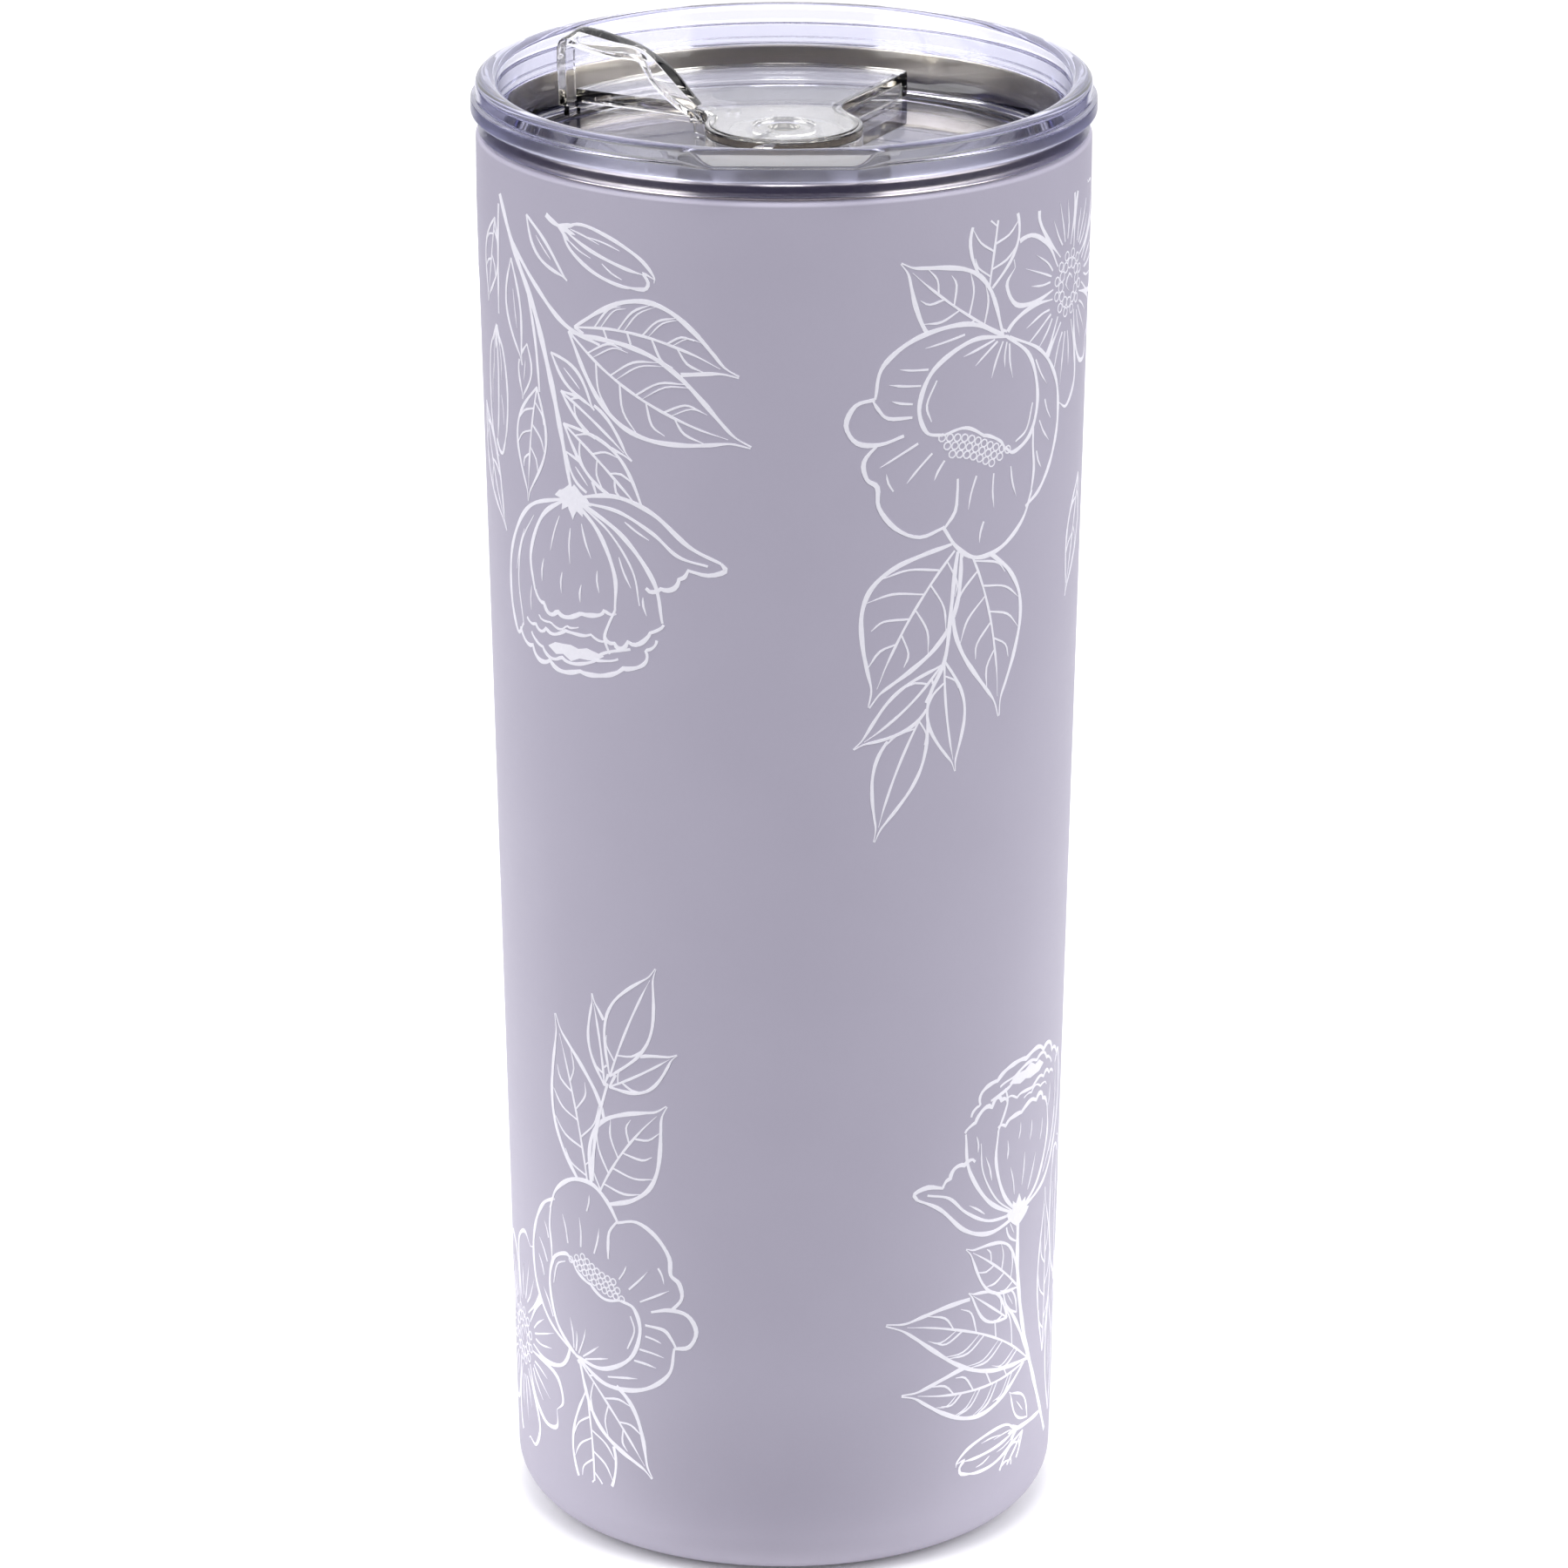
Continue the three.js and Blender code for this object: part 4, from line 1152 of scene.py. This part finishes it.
def clear_lid(plastic):
    angles = lid_angles()
    tab_at = -math.pi / 2
    piece = swept("clear_lid", [lid_profile(a) for a in angles], [tab_at + a for a in angles])
    stops = ring_sector("stops", 4.7, 6.7, KEY_AZIMUTH + OPEN_TURN + KEY_HALF_ANGLE + STOP_SLACK,
                        KEY_AZIMUTH + 360 - KEY_HALF_ANGLE - STOP_SLACK,
                        FLOOR_TOP_Z - 0.5, FLOOR_TOP_Z + 1.5)
    joined(piece, "UNION", stops)
    vent = arc_points(VENT_R, 0, 360, 48, polar(VENT_AT_R, VENT_AZIMUTH))[:-1]
    joined(piece, "DIFFERENCE", *(prism("hole", outline, FLOOR_LOW_Z - 1, FLOOR_TOP_Z + 1)
                                  for outline in (drink_slot(), vent)))
    finish(piece, plastic, "lid", "clear_lid", "lid_body", crease=38)


def lid_seal(rubber):
    inner = 34.05
    lip = BODY_TOP_R - WALL_DEPTH - 0.02
    low = gasket_low.z - 0.2
    high = gasket_high.z + 0.2
    revolved("lid_seal", [
        (inner, low, 0.1), (lip - 0.1, low, 0.15), (lip, low + 0.45, 0.2),
        (lip - 0.55, low + 0.9, 0.25), (lip - 0.55, high - 0.9, 0.25),
        (lip, high - 0.45, 0.2), (lip - 0.1, high, 0.15), (inner, high, 0.1),
    ], 5, SEGMENTS, True, rubber, "lid", "clear_silicone", "lid_gasket")


# ==== Closure ====

HUB_RIGHT_AZIMUTH = 28
HUB_LEFT_AZIMUTH = 172
NECK_END_R = 14
fin_along = polar(1, FIN_AZIMUTH)
fin_behind = polar(1, FIN_AZIMUTH - 90)


def crossing(a, along_a, b, along_b):
    """Where the line through a meets the line through b."""
    gap = b - a
    return a + along_a * (gap.cross(along_b) / along_a.cross(along_b))


def reach_to(a, along, distance):
    """Where the line from a is at a distance from the axis."""
    part = a.dot(along)
    return a + along * (-part + math.sqrt(part * part - a.length_squared + distance * distance))


def bent(start, control, end, steps):
    """Quadratic curve between two points, without its ends."""
    return [start * (1 - t) ** 2 + control * 2 * t * (1 - t) + end * t * t
            for t in (i / steps for i in range(1, steps))]


def straight(start, end, steps):
    return [start.lerp(end, i / steps) for i in range(1, steps)]


def closure_outline(shrink):
    """Plan outline of the closure, anticlockwise: hub, concave neck, fan, concave neck."""
    hub_r = HUB_R - shrink
    fan_r = FAN_R - shrink
    arm_along = polar(1, ARM_EDGE_ANGLE)
    arm_at = ARM_EDGE_AT + polar(shrink, ARM_EDGE_ANGLE + 90)
    left_at = fin_behind * (1.2 + shrink)
    hub_right = polar(hub_r, HUB_RIGHT_AZIMUTH)
    hub_left = polar(hub_r, HUB_LEFT_AZIMUTH)
    neck_right = crossing(hub_right, polar(1, HUB_RIGHT_AZIMUTH + 90), arm_at, arm_along)
    neck_left = crossing(hub_left, polar(1, HUB_LEFT_AZIMUTH + 90), left_at, fin_along)
    arm_start = reach_to(arm_at, arm_along, NECK_END_R)
    left_start = reach_to(left_at, fin_along, NECK_END_R)
    tip = corner_arc(arm_start, reach_to(arm_at, arm_along, fan_r),
                     polar(fan_r, azimuth_of(reach_to(arm_at, arm_along, fan_r)) + 8), 0.8, 4)
    heel = reach_to(left_at, fin_along, fan_r)
    outline = arc_points(hub_r, HUB_LEFT_AZIMUTH, HUB_RIGHT_AZIMUTH + 360, 72)
    outline += bent(hub_right, neck_right, arm_start, 12)
    outline += [arm_start] + straight(arm_start, tip[0], 6) + tip
    outline += arc_points(fan_r, azimuth_of(tip[-1]), azimuth_of(heel), 56)[1:]
    outline += straight(heel, left_start, 6) + [left_start]
    outline += bent(left_start, neck_left, hub_left, 12)
    return outline


def plate_with_skirt():
    top = PLATE_TOP_Z
    low = CLOSURE_LOW_Z
    ceiling = top - PLATE_THICK
    wall = SKIRT_THICK
    levels = [
        (wall + 0.3, ceiling), (wall + 0.09, ceiling - 0.09), (wall, ceiling - 0.3),
        (wall, low + 0.18), (wall - 0.06, low + 0.05), (wall - 0.2, low),
        (0.2, low), (0.06, low + 0.05), (0, low + 0.18),
        (0, top - 0.3), (0.04, top - 0.14), (0.14, top - 0.04), (0.3, top),
    ]
    return loft("clear_closure", [[(*p, z) for p in closure_outline(s)] for s, z in levels])


# Side view of the fin, outer end first: distance from the axis and height of its top edge on the
# near face and on the ridge behind it.
FIN_NEAR_TOP = [(32.35, 184.2), (32.2, 186.4), (31.2, 187.4), (28.5, 186.85), (24.8, 186.4),
                (20.9, 186.45), (19.7, 185.6), (18.2, 183.3), (15.6, 181.4), (12.9, 180.1)]
FIN_BACK_TOP = [(32.3, 184.2), (32.2, 186.6), (30.9, 188.1), (28.3, 188.0), (25.8, 187.6),
                (22.9, 187.0), (20.2, 185.8), (17.7, 184.2), (15.4, 181.9), (13.4, 179.9)]


def inset(points, distance):
    """Closed anticlockwise outline moved inwards."""
    moved = []
    count = len(points)
    for i, point in enumerate(points):
        before = (point - points[i - 1]).normalized()
        after = (points[(i + 1) % count] - point).normalized()
        along = before + after
        normal = Vector((-along.y, along.x)).normalized()
        widen = 1 / max(math.cos(before.angle(along) if along.length > 1e-6 else 0), 0.5)
        moved.append(point + normal * distance * widen)
    return moved


def fin_outline(share, shrink, low):
    """Closed side view of the fin; share is 0 at its near face and 1 at its ridge."""
    near = smoothed(FIN_NEAR_TOP, 5)
    back = smoothed(FIN_BACK_TOP, 5)
    top = [a.lerp(b, share) for a, b in zip(near, back)]
    start = Vector((11.6, FIN_LOW_Z))
    end = Vector((FAN_R, FIN_LOW_Z))
    base = [start.lerp(end, i / 10) for i in range(11)]
    outline = inset(base + top, shrink)
    if low is not None:
        for point in outline[:11]:
            point.y = low
    return outline


def fin_loops(sections, low=None):
    """Loops across the fin's thickness: (distance behind the near face, shrink)."""
    loops = []
    for behind, shrink in sections:
        outline = fin_outline(smooth_step(behind / FIN_THICK), shrink, low)
        loops.append([(*(fin_along * p.x + fin_behind * behind), p.y) for p in outline])
    return loops


def clear_closure(plastic):
    piece = plate_with_skirt()
    hub = lathe("hub", rounded([
        (0, PLATE_TOP_Z - 0.6), (9.2, PLATE_TOP_Z - 0.6), (9.2, HUB_TOP_Z, 0.12), (0, HUB_TOP_Z),
    ], 4, closed=False), RING_SEGMENTS)
    fin = loft("fin", fin_loops([
        (0, 0.14), (0.04, 0.04), (0.14, 0), (1.3, 0), (2.4, 0), (3.3, 0),
        (FIN_THICK - 0.12, 0), (FIN_THICK - 0.04, 0.04), (FIN_THICK, 0.12)]))
    hollow = loft("hollow", fin_loops([
        (FIN_WALL, FIN_WALL + 0.15), (FIN_WALL + 0.15, FIN_WALL), (2, FIN_WALL),
        (FIN_THICK - FIN_WALL - 0.15, FIN_WALL), (FIN_THICK - FIN_WALL, FIN_WALL + 0.15)],
        CLOSURE_LOW_Z - 1))
    boss = lathe("boss", rounded([
        (0, CLOSURE_LOW_Z + 0.2), (3.9, CLOSURE_LOW_Z + 0.2, 0.2), (3.9, HUB_TOP_Z - 0.5),
        (0, HUB_TOP_Z - 0.5)], 4, closed=False), 64)
    post = lathe("post", rounded([
        (0, POST_LOW_Z), (POST_R - 0.4, POST_LOW_Z, 0.2), (POST_R, POST_LOW_Z + 0.6, 0.3),
        (POST_R, HUB_TOP_Z - 0.7), (0, HUB_TOP_Z - 0.7)], 4, closed=False), 48)
    key = ring_sector("key", 3.5, HUB_R - 0.6, KEY_AZIMUTH - KEY_HALF_ANGLE,
                      KEY_AZIMUTH + KEY_HALF_ANGLE, CLOSURE_LOW_Z, HUB_TOP_Z - 0.9, 8)
    joined(piece, "UNION", hub, fin)
    joined(piece, "DIFFERENCE", hollow)
    joined(piece, "UNION", boss, post, key)
    finish(piece, plastic, "closure", "clear_closure", "closure_flap", crease=34)


def snap_ring(rubber):
    inner = POST_R + 0.04
    revolved("snap_ring", [
        (inner, retainer_low.z, 0.15), (4, retainer_low.z, 0.2),
        (retainer_high.x, retainer_low.z + 0.5, 0.2), (retainer_high.x, retainer_high.z, 0.15),
        (inner, retainer_high.z, 0.15),
    ], 4, RING_SEGMENTS, True, rubber, "closure", "clear_silicone", "pivot_retainer")


def post_ring(rubber):
    section = (ring_high.z - ring_low.z) / 2
    middle = (ring_high.z + ring_low.z) / 2
    centre = Vector((ring_high.x - section, middle))
    profile = arc_points(section, 0, 360, 20, centre)[:-1]
    finish(lathe("post_ring", profile, RING_SEGMENTS), rubber, "closure", "clear_silicone",
           "pivot_o_ring", crease=180)


# ==== Assembly ====

make_camera()
make_studio()
make_floor()

steel = turned_metal("brushed_steel", (0.68, 0.63, 0.56), (0.82, 0.77, 0.70), 0.33, 4, NECK_R - 0.4)
clear_rubber = silicone("clear_silicone", (0.72, 0.73, 0.77), (0.84, 0.85, 0.88), 0.4, 0.6)
painted_shell(powder_coat())
line_art(white_ink())
steel_liner(steel)
foot_pan(steel)
foot_pad(silicone("pad_silicone", (0.25, 0.24, 0.28), (0.32, 0.31, 0.36), 0.7))
clear_lid(clear_plastic("clear_lid", (0.72, 0.72, 0.88), 175, 0.02, 0.01,
                        (SKIRT_R - 0.05, FLANGE_TOP_Z - 0.1)))
lid_seal(clear_rubber)
clear_closure(clear_plastic("clear_closure", (0.97, 0.945, 0.86), 60, 0.02, 0.012))
snap_ring(clear_rubber)
post_ring(clear_rubber)

# CAD pieces that no visible piece replaces: they stay as they are, with a material of their own.
hidden_looks = {
    "foil_wrap": foil(),
    "outer_base": steel,
    "getter_holder": steel,
    "vacuum_seal_bead": speckled("seal_glass", (0.08, 0.11, 0.09), (0.16, 0.2, 0.17),
                                 0.3, 0.0, 900),
    "getter_pill": speckled("getter_alloy", (0.12, 0.11, 0.11), (0.24, 0.23, 0.22), 0.6, 0.8, 2500),
}
for node, look in hidden_looks.items():
    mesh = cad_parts[node].data
    mesh.materials.clear()
    mesh.materials.append(look)

scene = bpy.context.scene
scene.view_settings.view_transform = "Standard"
scene.cycles.max_bounces = GLASS_BOUNCES
scene.cycles.transmission_bounces = GLASS_BOUNCES
scene.cycles.glossy_bounces = 8
